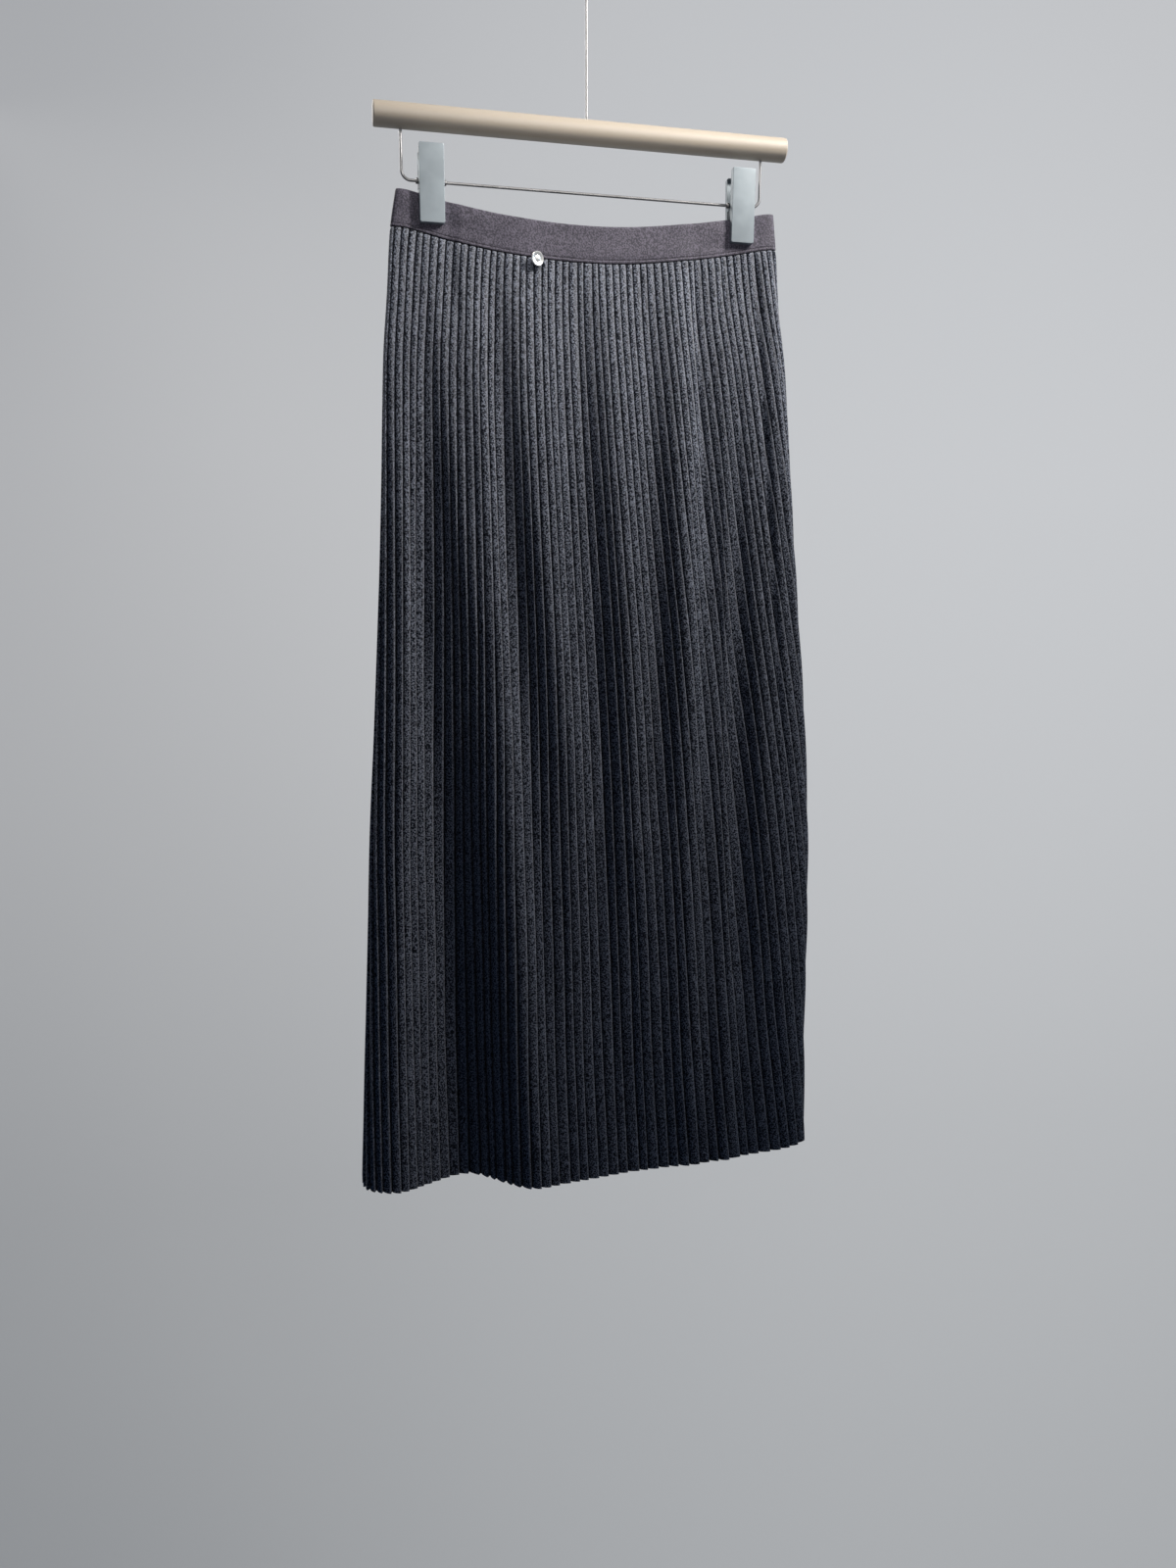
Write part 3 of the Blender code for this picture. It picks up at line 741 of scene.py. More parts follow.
def grid_piece(columns, rows):
    """A flat grid, with the column and the row from the top of every vertex."""
    builder = bmesh.new()
    bmesh.ops.create_grid(builder, x_segments=columns, y_segments=rows, size=1.0)
    builder.verts.ensure_lookup_table()
    across = np.array([0.5 * (vert.co.x + 1.0) for vert in builder.verts])
    down = np.array([0.5 * (1.0 - vert.co.y) for vert in builder.verts])
    return builder, np.rint(across * columns).astype(int), np.rint(down * rows).astype(int)


def add_wall(piece, thickness):
    """Gives a thin shell its thickness, inwards."""
    wall = piece.modifiers.new("wall", "SOLIDIFY")
    wall.thickness = thickness
    wall.offset = -1.0
    wall.use_even_offset = False


def edges_of(builder, items):
    """The edges that join the vertices among these items, in the mesh's order."""
    verts = {item for item in items if isinstance(item, bmesh.types.BMVert)}
    return [edge for edge in builder.edges if verts.issuperset(edge.verts)]


def extrude(builder, edges, move):
    """Extrudes edges by one move and gives the new ones."""
    made = bmesh.ops.extrude_edge_only(builder, edges=edges)["geom"]
    verts = [item for item in made if isinstance(item, bmesh.types.BMVert)]
    bmesh.ops.translate(builder, verts=verts, vec=move)
    return edges_of(builder, made)


def soften(builder, edges, offset, segments):
    """Rounds edges off."""
    bmesh.ops.bevel(
        builder,
        geom=edges,
        offset=offset,
        segments=segments,
        profile=0.5,
        affect="EDGES",
        material=-1,
    )


def block(builder, centre, size):
    """A box, given as its edges."""
    verts = bmesh.ops.create_cube(builder, size=1.0)["verts"]
    bmesh.ops.scale(builder, verts=verts, vec=size)
    bmesh.ops.translate(builder, verts=verts, vec=centre)
    return edges_of(builder, verts)


def rod(builder, centre, radius, length, sides, softening, steps):
    """A round rod along X with softened ends."""
    made = bmesh.ops.create_cone(
        builder,
        cap_ends=True,
        segments=sides,
        radius1=radius,
        radius2=radius,
        depth=length,
        matrix=Matrix.Translation(centre) @ Matrix.Rotation(0.5 * math.pi, 4, "Y"),
    )
    edges = edges_of(builder, made["verts"])
    rims = [edge for edge in edges if abs(edge.verts[0].co.x - edge.verts[1].co.x) < 0.5 * length]
    soften(builder, rims, softening, segments=steps)


# ---- pleated panels ----

# Unevenness of the pleats: waves along a pleat, and how far they move its edges and change its depth,
# as shares of the pleat.
PITCH_WAVES = (0.7, 1.6, 3.1)
PITCH_WANDER = 0.10
DEPTH_WAVES = (0.5, 1.3, 2.7)
DEPTH_WANDER = 0.30
CREASED_WIDTH = 400.0


def wander(rng, count, rows, waves):
    """Smooth unevenness for each pleat along its length: rows by count, about -1 to 1."""
    down = np.linspace(0.0, 1.0, rows)[:, None]
    total = np.zeros((rows, count))
    for wave in waves:
        phase = rng.uniform(0.0, 2.0 * math.pi, count)
        strength = rng.uniform(0.3, 1.0, count)
        total += strength * np.sin(2.0 * math.pi * wave * down + phase)
    return total / len(waves)


def crease_depth(creases, shares, drop):
    """Depth (m) of the listed creases at one drop (mm), for points at these shares of the width."""
    depth = np.zeros(len(shares))
    for start_share, end_share, start, end, half_width, deep in creases:
        if not start < drop < end:
            continue
        along = (drop - start) / (end - start)
        line = start_share + (end_share - start_share) * along
        fade = math.sqrt(math.sin(math.pi * along))
        away = (shares - line) * CREASED_WIDTH / half_width
        depth += deep * MM * fade * np.exp(-(away**2))
    return depth


def pleated_panel(name, is_front, seed):
    """One pleated panel: a grid laid round the broad tube, pleat by pleat."""
    settings = bpy.context.scene.skirt_cloth
    stations = len(PLEAT_PROFILE)
    columns = PLEATS * stations
    builder, column, row = grid_piece(columns, PANEL_ROWS)
    rng = np.random.default_rng(seed)
    rows = PANEL_ROWS + 1
    shift = wander(rng, PLEATS + 1, rows, PITCH_WAVES) * PITCH_WANDER * settings.unevenness
    shift += rng.uniform(-PITCH_SPREAD, PITCH_SPREAD, PLEATS + 1) * settings.unevenness
    shift[:, [0, -1]] = 0.0
    deepen = wander(rng, PLEATS + 1, rows, DEPTH_WAVES) * DEPTH_WANDER * settings.unevenness
    profile = np.array(PLEAT_PROFILE + ((1.0, 1.0, 1.0, 1.0),))
    even_rows = np.linspace(TUCK_DROPS[-1], LENGTH / MM, rows - len(TUCK_DROPS) + 1)
    drops = np.concatenate([TUCK_DROPS, even_rows[1:]])
    index = np.arange(columns + 1)
    pleat = np.minimum(index // stations, PLEATS - 1)
    station = index - pleat * stations
    places = []
    folds = []
    for level, drop in enumerate(drops):
        down = drop * MM / LENGTH
        points, lengths, front_length = broad_loop(drop)
        left_seam = LEFT_SEAM_DRIFT * down**DRIFT_POWER
        right_seam = front_length + RIGHT_SEAM_DRIFT * down**DRIFT_POWER
        start, finish = (right_seam, lengths[-1] + left_seam)
        skew = 0.0
        if is_front:
            start, finish = (left_seam - SEAM_LAP, right_seam + SEAM_LAP)
            skew = PITCH_SKEW_HEM * down
        lower = soft_step(drop / PLEAT_FULL_DROP)
        shape = profile[:, :2] + (profile[:, 2:] - profile[:, :2]) * lower
        edges = (np.arange(PLEATS + 1) + shift[level]) / PLEATS
        share = edges[pleat] + (edges[pleat + 1] - edges[pleat]) * shape[station, 0]
        share = share * (1.0 - skew) + skew * share**2
        spot, _, outward = place_on(points, lengths, start + (finish - start) * share)
        depth = PLEAT_DEPTH_TOP + (PLEAT_DEPTH_HEM - PLEAT_DEPTH_TOP) * lower
        near = deepen[level][pleat + (station > stations // 2)]
        depth = depth * (1.0 + near) * shape[station, 1]
        tuck = max(1.0 - drop / TUCK_LENGTH, 0.0)
        depth = depth + TUCK_DEPTH * (1.0 - math.sqrt(1.0 - tuck * tuck))
        creases = FRONT_CREASES if is_front else BACK_CREASES
        depth = depth + crease_depth(creases, share, drop) * settings.unevenness
        if is_front:
            depth[[0, -1]] += SEAM_LAP_DEPTH
        skin = spot - outward * depth[:, None]
        top = seam_height(spot[:, 0]) - SEAM_GAP
        z = top + (hem_height(spot[:, 0]) - top) * down
        places.append(np.column_stack([skin, z]))
        folds.append(shape[station, 1])
    # The fold attribute is the share of the pleat's depth; the cloth material paints shade and a highlight
    # from it.
    fold = builder.verts.layers.float.new("fold")
    for vert, k, level in zip(builder.verts, column, row):
        vert.co = places[level][k]
        vert[fold] = folds[level][k]
    piece = finish_piece(name, builder, "pleated_cloth_look", smooth_angle=65.0)
    add_wall(piece, settings.thickness)
    return piece


class SKIRT_OT_panels(Operator):
    """Build the front and back pleated panels over their solids"""

    bl_idname = "skirt.panels"
    bl_label = "Pleated Panels"

    def execute(self, context):
        front = pleated_panel("skirt_front_cloth", is_front=True, seed=11)
        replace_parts(front, "skirt_front")
        back = pleated_panel("skirt_back_cloth", is_front=False, seed=23)
        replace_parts(back, "skirt_back")
        return {"FINISHED"}


# ---- waistband and its edge stitching ----

# The folded strip from its seam edge up, over the fold and down inside.
# Columns: rise above the seam (mm), depth into the band (mm).
BAND_PROFILE = (
    (0.0, 0.10),
    (0.5, -0.10),
    (1.3, -0.12),
    (1.8, 0.05),
    (2.2, 0.38),
    (2.6, 0.12),
    (3.4, 0.0),
    (6.0, 0.0),
    (10.0, 0.0),
    (14.0, 0.0),
    (18.0, 0.0),
    (22.0, 0.0),
    (25.0, 0.0),
    (27.4, 0.0),
    (28.4, 0.16),
    (28.9, 0.55),
    (29.0, 1.0),
    (28.9, 1.45),
    (28.4, 1.84),
    (27.4, 2.0),
    (22.0, 2.0),
    (14.0, 2.0),
    (6.0, 2.0),
    (0.2, 2.0),
)
BAND_COLUMNS = 300
BAND_CLOTH = 0.6 * MM

# Soft troughs and ridges of the band.  Columns: x, rise, half length along, half height, depth (mm).
BAND_PUCKERS = (
    (-146, 9, 9, 9, 0.9),
    (-150, 20, 6, 6, -0.6),
    (-112, 12, 16, 6, 0.7),
    (-98, 20, 20, 5, -0.5),
    (-60, 8, 26, 5, 0.4),
    (-10, 19, 36, 5, 0.4),
    (30, 9, 30, 5, -0.4),
    (84, 18, 24, 6, 0.5),
    (112, 8, 14, 6, 0.8),
    (118, 20, 10, 5, -0.6),
    (154, 12, 8, 10, 0.9),
)


def band_pucker(x, rise):
    """Depth (m) of the band's soft troughs at points x (m), rise (mm)."""
    depth = np.zeros(len(x))
    for centre, level, half_length, half_height, deep in BAND_PUCKERS:
        away = ((x / MM - centre) / half_length) ** 2 + ((rise - level) / half_height) ** 2
        depth += deep * MM * np.exp(-away)
    return depth


def waistband_cloth():
    """The band: one strip round the waist, folded over at its top edge."""
    builder, column, row = grid_piece(BAND_COLUMNS, len(BAND_PROFILE) - 1)
    rings = []
    for rise, inward in BAND_PROFILE:
        points, lengths, _ = broad_loop(-rise)
        spot, _, outward = place_on(points, lengths, np.linspace(0.0, lengths[-1], BAND_COLUMNS + 1))
        depth = inward * MM + band_pucker(spot[:, 0], rise)
        skin = spot - outward * depth[:, None]
        ring = np.column_stack([skin, seam_height(spot[:, 0]) + rise * MM])
        ring[-1] = ring[0]
        rings.append(ring)
    # The grid's first row is its top row, so the profile runs down inside first and outwards last.
    rings.reverse()
    for vert, k, level in zip(builder.verts, column, row):
        vert.co = rings[level][k]
    bmesh.ops.remove_doubles(builder, verts=builder.verts[:], dist=1e-6)
    piece = finish_piece("waistband_cloth", builder, "waistband_look", smooth_angle=70.0)
    add_wall(piece, BAND_CLOTH)
    return piece


class SKIRT_OT_waistband(Operator):
    """Build the folded waistband"""

    bl_idname = "skirt.waistband"
    bl_label = "Waistband"

    def execute(self, context):
        band = waistband_cloth()
        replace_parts(band, "waistband")
        return {"FINISHED"}


STITCH_RISE = 2.2
STITCH_RADIUS = 0.22 * MM
STITCH_SINK = 0.22 * MM
STITCH_GAP = 0.7 * MM


def edge_stitches():
    """A row of stitches round the band, just above its seam."""
    settings = bpy.context.scene.skirt_cloth
    points, lengths, _ = broad_loop(-STITCH_RISE)
    count = int(lengths[-1] / (settings.stitch_length + STITCH_GAP))
    spot, along, outward = place_on(points, lengths, np.arange(count) * lengths[-1] / count)
    depth = STITCH_SINK + band_pucker(spot[:, 0], STITCH_RISE)
    centres = spot - outward * depth[:, None]
    heights = seam_height(spot[:, 0]) + STITCH_RISE * MM
    ahead = seam_height(spot[:, 0] + along[:, 0] * MM) + STITCH_RISE * MM
    builder = bmesh.new()
    shape = Matrix.Diagonal((0.5 * settings.stitch_length, STITCH_RADIUS, STITCH_RADIUS, 1.0))
    for k in range(count):
        forward = Vector((along[k, 0] * MM, along[k, 1] * MM, ahead[k] - heights[k])).normalized()
        out = Vector((outward[k, 0], outward[k, 1], 0.0))
        turn = Matrix((forward, out, forward.cross(out).normalized())).transposed().to_4x4()
        place = Matrix.Translation((centres[k, 0], centres[k, 1], heights[k])) @ turn @ shape
        bmesh.ops.create_uvsphere(builder, u_segments=6, v_segments=5, radius=1.0, matrix=place)
    return closed_piece("waistband_stitches", builder, "thread_look", smooth_angle=80.0)


class SKIRT_OT_stitches(Operator):
    """Sew the row of stitches along the waistband's lower edge"""

    bl_idname = "skirt.stitches"
    bl_label = "Edge Stitches"

    def execute(self, context):
        edge_stitches()
        return {"FINISHED"}


# ---- button ----

BUTTON_CENTRE = (-44.0 * MM, -13.6 * MM, BAR_Z - 105.0 * MM)
BUTTON_TURN = 25.0
BUTTON_NOD = 4.0
# Turned outline of the button.  Columns: radius, distance behind the face (mm).
BUTTON_OUTLINE = (
    (0.0, 0.10),
    (2.2, 0.12),
    (2.5, 0.30),
    (2.9, 0.30),
    (3.2, 0.12),
    (4.6, 0.10),
    (5.0, -0.05),
    (5.5, -0.02),
    (5.8, 0.22),
    (5.9, 0.60),
    (5.9, 1.20),
    (5.7, 1.50),
    (5.3, 1.60),
    (1.6, 1.60),
    (1.3, 1.85),
    (1.3, 5.20),
    (1.0, 5.30),
    (0.0, 5.30),
)


def silver_button():
    """The small round button, turned from an outline, with a plain ring on its face."""
    builder = bmesh.new()
    corners = [builder.verts.new((radius * MM, behind * MM, 0.0)) for radius, behind in BUTTON_OUTLINE]
    edges = [builder.edges.new(pair) for pair in zip(corners, corners[1:])]
    bmesh.ops.spin(
        builder,
        geom=corners + edges,
        cent=(0.0, 0.0, 0.0),
        axis=(0.0, 1.0, 0.0),
        angle=2.0 * math.pi,
        steps=64,
        use_merge=True,
    )
    bmesh.ops.remove_doubles(builder, verts=builder.verts[:], dist=1e-6)
    turn = Matrix.Rotation(math.radians(BUTTON_TURN), 4, "Z")
    nod = Matrix.Rotation(math.radians(BUTTON_NOD), 4, "X")
    place = Matrix.Translation(BUTTON_CENTRE) @ turn @ nod
    bmesh.ops.transform(builder, matrix=place, verts=builder.verts[:])
    return closed_piece("silver_button", builder, "silver_button_look", smooth_angle=35.0)


class SKIRT_OT_button(Operator):
    """Build the small silver button"""

    bl_idname = "skirt.button"
    bl_label = "Button"

    def execute(self, context):
        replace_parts(silver_button(), "metal_disc")
        return {"FINISHED"}


# ---- hanger: bar and wires ----

BAR_EDGE = 1.4 * MM
HOOK_INNER_RADIUS = 22.0 * MM
HOOK_BACK_BEND = 15.0 * MM
HOOK_END_ANGLE = 196.0
HOOK_TIP_ROUNDING = 0.6 * HOOK_WIRE_RADIUS
CLIP_WIRE_BEND = 7.5 * MM
WIRE_SIDES = 16


def wooden_bar():
    """The round bar with softened ends."""
    builder = bmesh.new()
    rod(builder, (0.0, 0.0, BAR_Z), BAR_RADIUS, BAR_LENGTH, sides=72, softening=BAR_EDGE, steps=4)
    return closed_piece("beech_bar", builder, "pale_beech_look", smooth_angle=50.0)


class SKIRT_OT_bar(Operator):
    """Turn the wooden bar"""

    bl_idname = "skirt.bar"
    bl_label = "Wooden Bar"

    def execute(self, context):
        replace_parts(wooden_bar(), "hanger_bar")
        return {"FINISHED"}


class BentWire:
    """A round wire drawn from a circle by straight runs and bends."""

    def __init__(self, start, direction, radius):
        self.builder = bmesh.new()
        turn = Vector((0.0, 0.0, 1.0)).rotation_difference(Vector(direction)).to_matrix().to_4x4()
        place = Matrix.Translation(start) @ turn
        made = bmesh.ops.create_circle(self.builder, radius=radius, segments=WIRE_SIDES, matrix=place)
        self.first = list(made["verts"])
        self.ring = edges_of(self.builder, self.first)

    def straight(self, move):
        """Draw the wire on by one straight run."""
        self.ring = extrude(self.builder, self.ring, move)

    def bend(self, centre, degrees, steps):
        """Bend it round a centre, about the axis across the hanger."""
        made = bmesh.ops.spin(
            self.builder,
            geom=self.ring,
            cent=centre,
            axis=(0.0, 1.0, 0.0),
            angle=math.radians(degrees),
            steps=steps,
        )
        self.ring = edges_of(self.builder, made["geom_last"])

    def finish(self, name, round_end):
        """Close both ends, round the last one if asked, and make the piece."""
        bmesh.ops.contextual_create(self.builder, geom=edges_of(self.builder, self.first))
        bmesh.ops.contextual_create(self.builder, geom=self.ring)
        if round_end:
            soften(self.builder, self.ring, HOOK_TIP_ROUNDING, segments=3)
        return closed_piece(name, self.builder, "bright_wire_look", smooth_angle=50.0)


def hook_wire():
    """Straight stem, a short back bend and the round hook that goes over a rail."""
    radius = HOOK_INNER_RADIUS + HOOK_WIRE_RADIUS
    centre_z = -HOOK_INNER_RADIUS
    back = math.acos(HOOK_BACK_BEND / (HOOK_BACK_BEND + radius))
    join_z = centre_z - radius * math.sin(back)
    straight_z = join_z - HOOK_BACK_BEND * math.sin(back)
    wire = BentWire((0.0, 0.0, HOOK_LOW.z), (0.0, 0.0, 1.0), HOOK_WIRE_RADIUS)
    wire.straight((0.0, 0.0, straight_z - HOOK_LOW.z))
    wire.bend((HOOK_BACK_BEND, 0.0, straight_z), math.degrees(back), steps=10)
    wire.bend((0.0, 0.0, centre_z), -(math.degrees(back) + HOOK_END_ANGLE), steps=64)
    return wire.finish("hook_wire", round_end=True)


def clip_wire():
    """The wire under the bar that carries the clips."""
    top = WIRE_HIGH.z
    corner_x = CLIP_WIRE_X - CLIP_WIRE_BEND
    corner_z = CLIP_WIRE_Z + CLIP_WIRE_BEND
    wire = BentWire((-CLIP_WIRE_X, 0.0, top), (0.0, 0.0, -1.0), CLIP_WIRE_RADIUS)
    wire.straight((0.0, 0.0, corner_z - top))
    wire.bend((-corner_x, 0.0, corner_z), -90.0, steps=12)
    wire.straight((2.0 * corner_x, 0.0, 0.0))
    wire.bend((corner_x, 0.0, corner_z), -90.0, steps=12)
    wire.straight((0.0, 0.0, top - corner_z))
    return wire.finish("clip_wire_bright", round_end=False)


class SKIRT_OT_wires(Operator):
    """Bend the hook and the wire that carries the clips"""

    bl_idname = "skirt.wires"
    bl_label = "Hook and Clip Wire"

    def execute(self, context):
        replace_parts(hook_wire(), "hanger_hook")
        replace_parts(clip_wire(), "clip_wire")
        return {"FINISHED"}


# ---- clips ----

PLATE_DEPTH = 5.0 * MM
PLATE_SHEET = 1.1 * MM
PLATE_CORNER = 1.6 * MM
PLATE_EDGE = 0.55 * MM
JAW_TOP_OUT = 10.2 * MM
JAW_FOOT_OUT = 8.2 * MM
JAW_BITE = 4.5 * MM
LIP_RISE = 3.0 * MM
LIP_HEIGHT = 5.0 * MM
LIP_INSET = 1.3 * MM
LIP_OVERLAP = 0.2 * MM
LIP_EDGE = 0.5 * MM
EAR_RADIUS = 4.2 * MM
EAR_SHEET = 0.9 * MM
EAR_INSET = 0.15 * MM
EAR_FROM = 1.0 * MM
EAR_EDGE = 0.35 * MM
COLLAR_RADIUS = 2.3 * MM
COLLAR_LENGTH = 2.2 * MM
COLLAR_EDGE = 0.5 * MM
COIL_RADIUS = 2.7 * MM
COIL_WIRE = 0.55 * MM
COIL_WIRE_SIDES = 8
COIL_STEPS = 20


def pressed_plate(builder, low, high, side):
    """A pressed plate: a shallow tray with rounded corners and softened edges, its foot leaning inwards."""
    size = high - low
    centre = 0.5 * (low + high)
    middle_y = side * (max(abs(low.y), abs(high.y)) - 0.5 * PLATE_DEPTH)
    edges = block(builder, (centre.x, middle_y, centre.z), (size.x, PLATE_DEPTH, size.z))
    uprights = [edge for edge in edges if abs(edge.verts[0].co.y - edge.verts[1].co.y) > 0.5 * PLATE_DEPTH]
    soften(builder, uprights, PLATE_CORNER, segments=5)
    inner = min(builder.faces, key=lambda face: side * face.calc_center_median().y)
    outer = max(builder.faces, key=lambda face: side * face.calc_center_median().y)
    rim = list(outer.edges)
    bmesh.ops.inset_region(builder, faces=[inner], thickness=PLATE_SHEET, use_even_offset=True)
    bmesh.ops.translate(builder, verts=list(inner.verts), vec=(0.0, side * (PLATE_DEPTH - PLATE_SHEET), 0.0))
    soften(builder, rim, PLATE_EDGE, segments=4)
    for vert in builder.verts:
        vert.co.y -= side * (JAW_TOP_OUT - JAW_FOOT_OUT) * (high.z - vert.co.z) / size.z


def clip_jaw(name, node, side):
    """One jaw: the pressed plate, the bent lip that bites the band, and two ears at the wire."""
    low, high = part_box(node)
    builder = bmesh.new()
    pressed_plate(builder, low, high, side)
    centre_x = 0.5 * (low.x + high.x)
    width = high.x - low.x
    foot = JAW_FOOT_OUT - PLATE_SHEET
    spot = (centre_x, side * 0.5 * (JAW_BITE + foot), low.z + LIP_RISE)
    lip = block(builder, spot, (width - 2.0 * LIP_INSET, foot - JAW_BITE + LIP_OVERLAP, LIP_HEIGHT))
    soften(builder, lip, LIP_EDGE, segments=3)
    reach = 0.5 * (JAW_TOP_OUT + JAW_FOOT_OUT) - PLATE_SHEET
    for end in (-1.0, 1.0):
        ear_x = centre_x + end * (0.5 * width - 0.5 * EAR_SHEET - EAR_INSET)
        spot = (ear_x, side * 0.5 * (reach + EAR_FROM), CLIP_WIRE_Z)
        ear = block(builder, spot, (EAR_SHEET, reach - EAR_FROM, 2.0 * EAR_RADIUS))
        soften(builder, ear, EAR_EDGE, segments=3)
    piece = closed_piece(name, builder, "satin_clip_look", smooth_angle=40.0)
    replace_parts(piece, node)


def clip_coil(name, node):
    """The spring round the wire, with a collar at each end."""
    turns = bpy.context.scene.skirt_hanger.coil_turns
    low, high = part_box(node)
    builder = bmesh.new()
    place = Matrix.Translation((low.x, COIL_RADIUS, CLIP_WIRE_Z)) @ Matrix.Rotation(0.5 * math.pi, 4, "X")
    made = bmesh.ops.create_circle(builder, radius=COIL_WIRE, segments=COIL_WIRE_SIDES, matrix=place)
    bmesh.ops.spin(
        builder,
        geom=edges_of(builder, made["verts"]),
        cent=(low.x, 0.0, CLIP_WIRE_Z),
        axis=(1.0, 0.0, 0.0),
        dvec=((high.x - low.x) / (COIL_STEPS * turns), 0.0, 0.0),
        angle=2.0 * math.pi * turns,
        steps=COIL_STEPS * turns,
    )
    ends = [edge for edge in builder.edges if edge.is_boundary]
    bmesh.ops.holes_fill(builder, edges=ends, sides=COIL_WIRE_SIDES)
    jaw_low, jaw_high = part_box(node.replace("_spring", "_front_jaw"))
    for x in (jaw_low.x - 0.5 * COLLAR_LENGTH, jaw_high.x + 0.5 * COLLAR_LENGTH):
        place = (x, 0.0, CLIP_WIRE_Z)
        rod(builder, place, COLLAR_RADIUS, COLLAR_LENGTH, sides=24, softening=COLLAR_EDGE, steps=3)
    piece = closed_piece(name, builder, "bright_wire_look", smooth_angle=50.0)
    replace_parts(piece, node)


class SKIRT_OT_clips(Operator):
    """Press the clips' plates and wind their springs"""

    bl_idname = "skirt.clips"
    bl_label = "Clips"

    def execute(self, context):
        for hand in ("left", "right"):
            clip_jaw(f"clip_{hand}_front_plate", f"clip_{hand}_front_jaw", -1.0)
            clip_jaw(f"clip_{hand}_back_plate", f"clip_{hand}_back_jaw", 1.0)
            clip_coil(f"clip_{hand}_coil", f"clip_{hand}_spring")
        return {"FINISHED"}


# ---- stage ----

CAMERA_PLACE = (-0.2125, -0.9746, -0.5479)
CAMERA_TURN = 12.37
CAMERA_DROP = 9.17
CAMERA_LENS = 25.47
SENSOR = 36.0
FLOOR_Z = -2.30
WALL_Y = 1.00
SWEEP_RADIUS = 0.70
STAGE_HALF = 3.2
WALL_HEIGHT = 3.2
PALE_RISE = 2.0
# Soft square lights: a key above, in front and to the right, a weak one in front, one that lifts the bar's
# shaded side, a cool one at the side, one for the skirt's back, and one that faces the wall only.
# Columns: name, place, target, size, spread (degrees), share of the key's power, colour.
LIGHTS = (
    ("key", (0.70, -0.50, 0.42), (-0.03, 0.0, -0.20), 0.28, 70.0, 1.0, (1.0, 0.95, 0.89)),
    ("front", (-0.08, -0.60, 0.40), (-0.03, 0.0, -0.15), 0.25, 70.0, 0.10, (1.0, 0.95, 0.89)),
    ("fill", (0.0, -0.95, -0.32), (0.0, 0.0, -0.07), 0.30, 34.0, 0.050, (1.0, 0.95, 0.89)),
    ("side", (1.30, -0.15, 0.20), (0.02, 0.0, -0.55), 0.50, 180.0, 0.70, (0.70, 0.88, 1.0)),
    ("back", (-0.80, 0.78, 0.35), (0.0, 0.02, -0.45), 0.40, 120.0, 1.4, (1.0, 0.97, 0.93)),
    ("wall_wash", (1.60, 0.15, -0.45), (1.60, 1.00, -0.45), 3.4, 180.0, 13.4, (1.0, 1.0, 1.0)),
)
AMBIENT = (0.16, 0.44, 1.0, 1.0)
AMBIENT_STRENGTH = 0.06
SURROUND = (0.60, 0.615, 0.63, 1.0)
SURROUND_IN_METAL = 0.5
# Colours of the backdrop's painted glow that only the camera sees, dimmer on the floor than on the wall, and
# the glow's share.
PALE_WALL = (0.56, 0.57, 0.59, 1.0)
PALE_FLOOR = (0.36, 0.375, 0.39, 1.0)
PALE_SHARE = 0.6


def backdrop_material(name):
    """Matt paint with a painted glow that only the camera sees, dimmer on the floor than up the wall, and
    clear from behind.
    """
    made, tree, shader, place = new_material(name)
    colour = solid(bpy.context.scene.skirt_stage.backdrop_colour)
    feed(tree, shader, {"Base Color": colour, "Roughness": 0.9, "Specular IOR Level": 0.1})
    height = new_node(tree, "SeparateXYZ", {0: place}).outputs["Z"]
    # Painted glow that only the camera sees, dimmer on the floor than up the wall.
    paint = mix_colour(tree, ranged(tree, height, FLOOR_Z, FLOOR_Z + PALE_RISE), PALE_FLOOR, PALE_WALL)
    seen = new_node(tree, "LightPath", {}).outputs["Is Camera Ray"]
    pale = new_node(tree, "Emission", {"Color": paint})
    painted = mix_shader(tree, times(tree, seen, PALE_SHARE), shader, pale)
    behind = new_node(tree, "NewGeometry", {}).outputs["Backfacing"]
    both = mix_shader(tree, behind, painted, new_node(tree, "BsdfTransparent", {}))
    feed(tree, tree.nodes["Material Output"], {"Surface": both.outputs[0]})
    return made


def backdrop():
    """Floor and wall in one sweep; seen from behind it lets the light and the view through."""
    builder = bmesh.new()
    ends = [builder.verts.new((x, -STAGE_HALF, FLOOR_Z)) for x in (-STAGE_HALF, STAGE_HALF)]
    floor = extrude(builder, [builder.edges.new(ends)], (0.0, STAGE_HALF + WALL_Y - SWEEP_RADIUS, 0.0))
    made = bmesh.ops.spin(
        builder,
        geom=floor,
        cent=(0.0, WALL_Y - SWEEP_RADIUS, FLOOR_Z + SWEEP_RADIUS),
        axis=(1.0, 0.0, 0.0),
        angle=0.5 * math.pi,
        steps=24,
    )
    extrude(builder, edges_of(builder, made["geom_last"]), (0.0, 0.0, WALL_HEIGHT))
    bmesh.ops.recalc_face_normals(builder, faces=builder.faces[:])
    wall = max(builder.faces, key=lambda face: face.calc_center_median().z)
    if wall.normal.y > 0.0:
        bmesh.ops.reverse_faces(builder, faces=builder.faces[:])
    mesh = bpy.data.meshes.new("backdrop")
    builder.to_mesh(mesh)
    builder.free()
    mesh.shade_smooth()
    mesh.materials.append(backdrop_material("pale_backdrop"))
    piece = bpy.data.objects.new("backdrop", mesh)
    bpy.context.scene.collection.objects.link(piece)


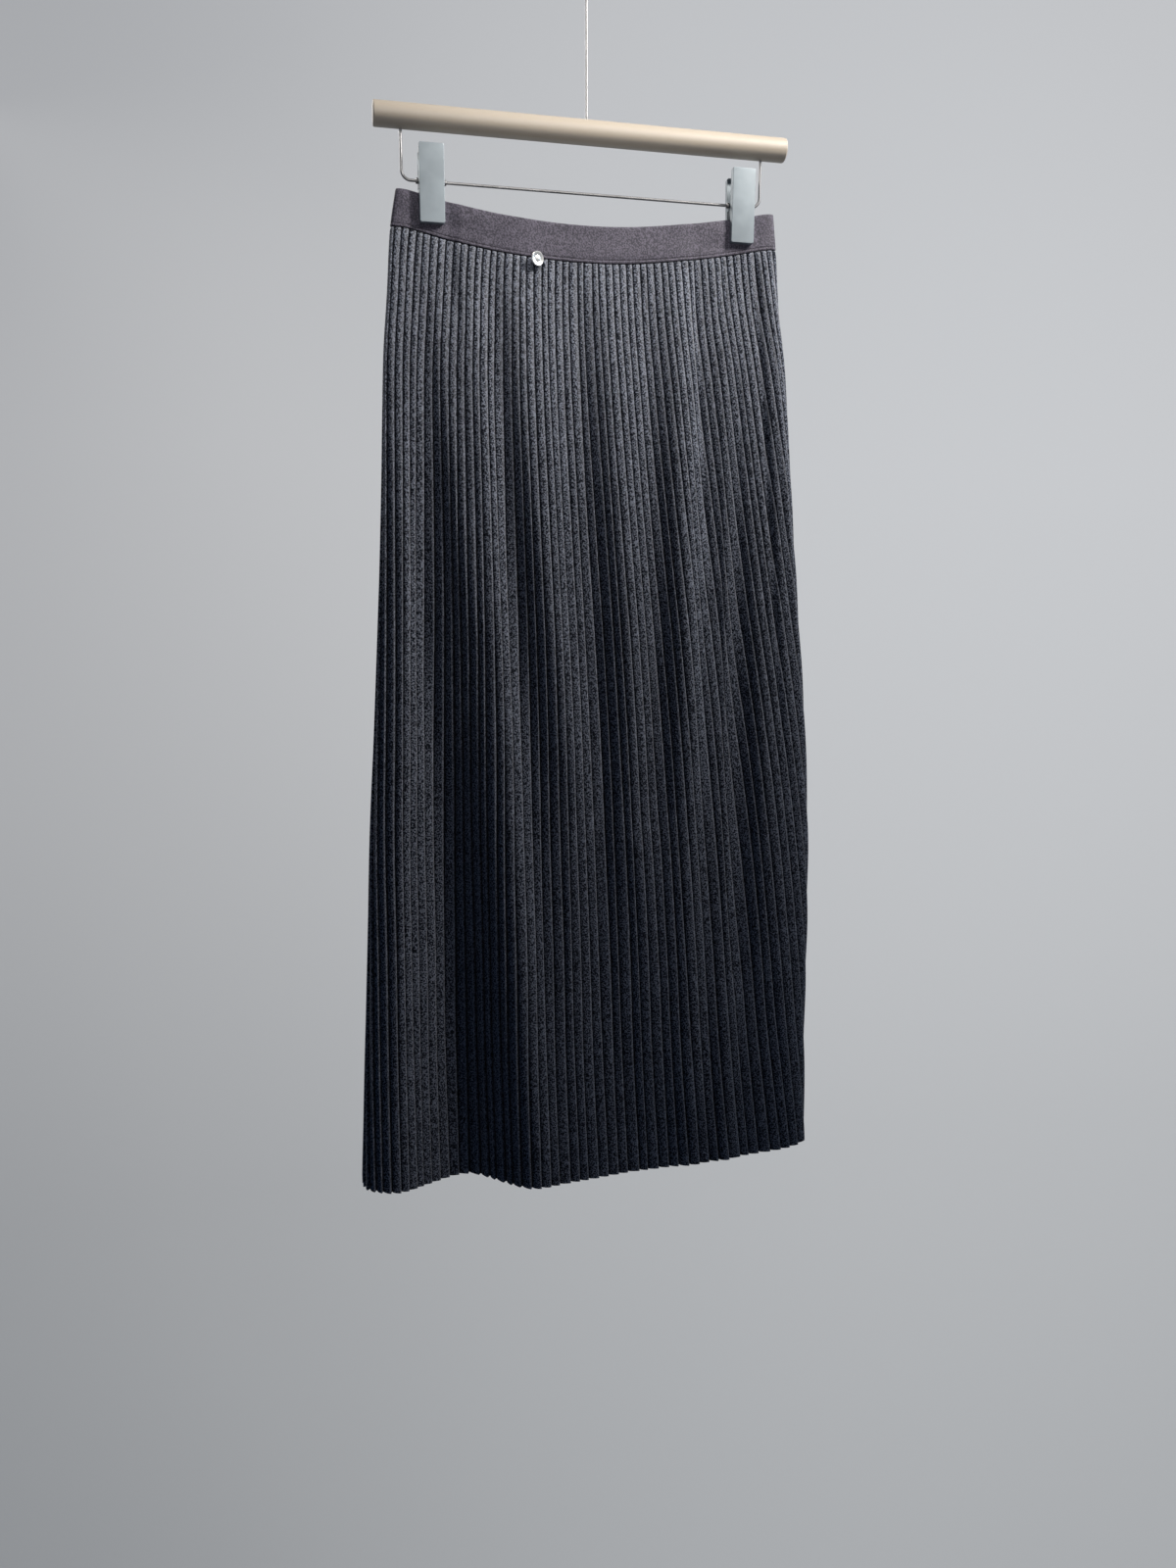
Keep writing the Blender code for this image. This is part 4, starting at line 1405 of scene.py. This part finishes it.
def soft_light():
    """The soft lights, a dim sky on the skirt, and a pale surround that the camera and the metals see."""
    key_power = bpy.context.scene.skirt_stage.key_power
    for name, place, target, size, spread, share, colour in LIGHTS:
        data = bpy.data.lights.new(name, "AREA")
        data.shape = "SQUARE"
        data.size = size
        data.energy = share * key_power
        data.color = colour
        data.spread = math.radians(spread)
        lamp = bpy.data.objects.new(name, data)
        lamp.location = place
        lamp.rotation_mode = "QUATERNION"
        lamp.rotation_quaternion = (Vector(target) - Vector(place)).to_track_quat("-Z", "Y")
        lamp.visible_camera = False
        bpy.context.scene.collection.objects.link(lamp)
    world = bpy.data.worlds.new("soft_sky")
    world.use_nodes = True
    tree = world.node_tree
    sky = tree.nodes["Background"]
    feed(tree, sky, {"Color": AMBIENT, "Strength": AMBIENT_STRENGTH})
    surround = new_node(tree, "Background", {"Color": SURROUND})
    seen = new_node(tree, "LightPath", {}).outputs
    mirrored = times(tree, seen["Is Glossy Ray"], SURROUND_IN_METAL)
    both = mix_shader(tree, plus(tree, seen["Is Camera Ray"], mirrored, clamp=True), sky, surround)
    feed(tree, tree.nodes["World Output"], {"Surface": both.outputs[0]})
    bpy.context.scene.world = world


def front_camera():
    """The camera, a little left of the skirt and below its middle height, tipped down."""
    data = bpy.data.cameras.new("camera")
    data.sensor_width = SENSOR
    data.sensor_fit = "AUTO"
    data.lens = CAMERA_LENS
    data.dof.use_dof = False
    camera = bpy.data.objects.new("camera", data)
    camera.location = CAMERA_PLACE
    camera.rotation_euler = (math.radians(90.0 - CAMERA_DROP), 0.0, math.radians(-CAMERA_TURN))
    bpy.context.scene.collection.objects.link(camera)
    bpy.context.scene.camera = camera
    bpy.context.scene.view_settings.view_transform = "Standard"


class SKIRT_OT_stage(Operator):
    """Set the pale floor and backdrop, the soft light and the camera"""

    bl_idname = "skirt.stage"
    bl_label = "Stage"

    def execute(self, context):
        if context.scene.skirt_stage.shown:
            backdrop()
        soft_light()
        front_camera()
        return {"FINISHED"}


class SKIRT_PT_looks(Panel):
    """Lists the settings and the pieces of the skirt"""

    bl_idname = "SKIRT_PT_looks"
    bl_label = "Pleated Skirt"
    bl_space_type = "VIEW_3D"
    bl_region_type = "UI"
    bl_category = "Pleated Skirt"

    def draw(self, context):
        layout = self.layout
        for holder in SETTINGS:
            settings = getattr(context.scene, holder)
            for label in settings.__annotations__:
                layout.prop(settings, label)
        for operator in OPERATORS:
            layout.operator(operator.bl_idname)


OPERATORS = (
    SKIRT_OT_stage,
    SKIRT_OT_panels,
    SKIRT_OT_waistband,
    SKIRT_OT_stitches,
    SKIRT_OT_button,
    SKIRT_OT_bar,
    SKIRT_OT_wires,
    SKIRT_OT_clips,
)
SETTINGS = {"skirt_cloth": ClothSettings, "skirt_hanger": HangerSettings, "skirt_stage": StageSettings}
CLASSES = (*SETTINGS.values(), *OPERATORS, SKIRT_PT_looks)


def register():
    for item in CLASSES:
        bpy.utils.register_class(item)
    for holder, group in SETTINGS.items():
        setattr(bpy.types.Scene, holder, PointerProperty(type=group))


def unregister():
    for holder in SETTINGS:
        delattr(bpy.types.Scene, holder)
    for item in reversed(CLASSES):
        bpy.utils.unregister_class(item)


def main():
    """Build every piece in order."""
    register()
    bpy.ops.skirt.stage()
    bpy.ops.skirt.panels()
    bpy.ops.skirt.waistband()
    bpy.ops.skirt.stitches()
    bpy.ops.skirt.button()
    bpy.ops.skirt.bar()
    bpy.ops.skirt.wires()
    bpy.ops.skirt.clips()


if __name__ == "__main__":
    main()
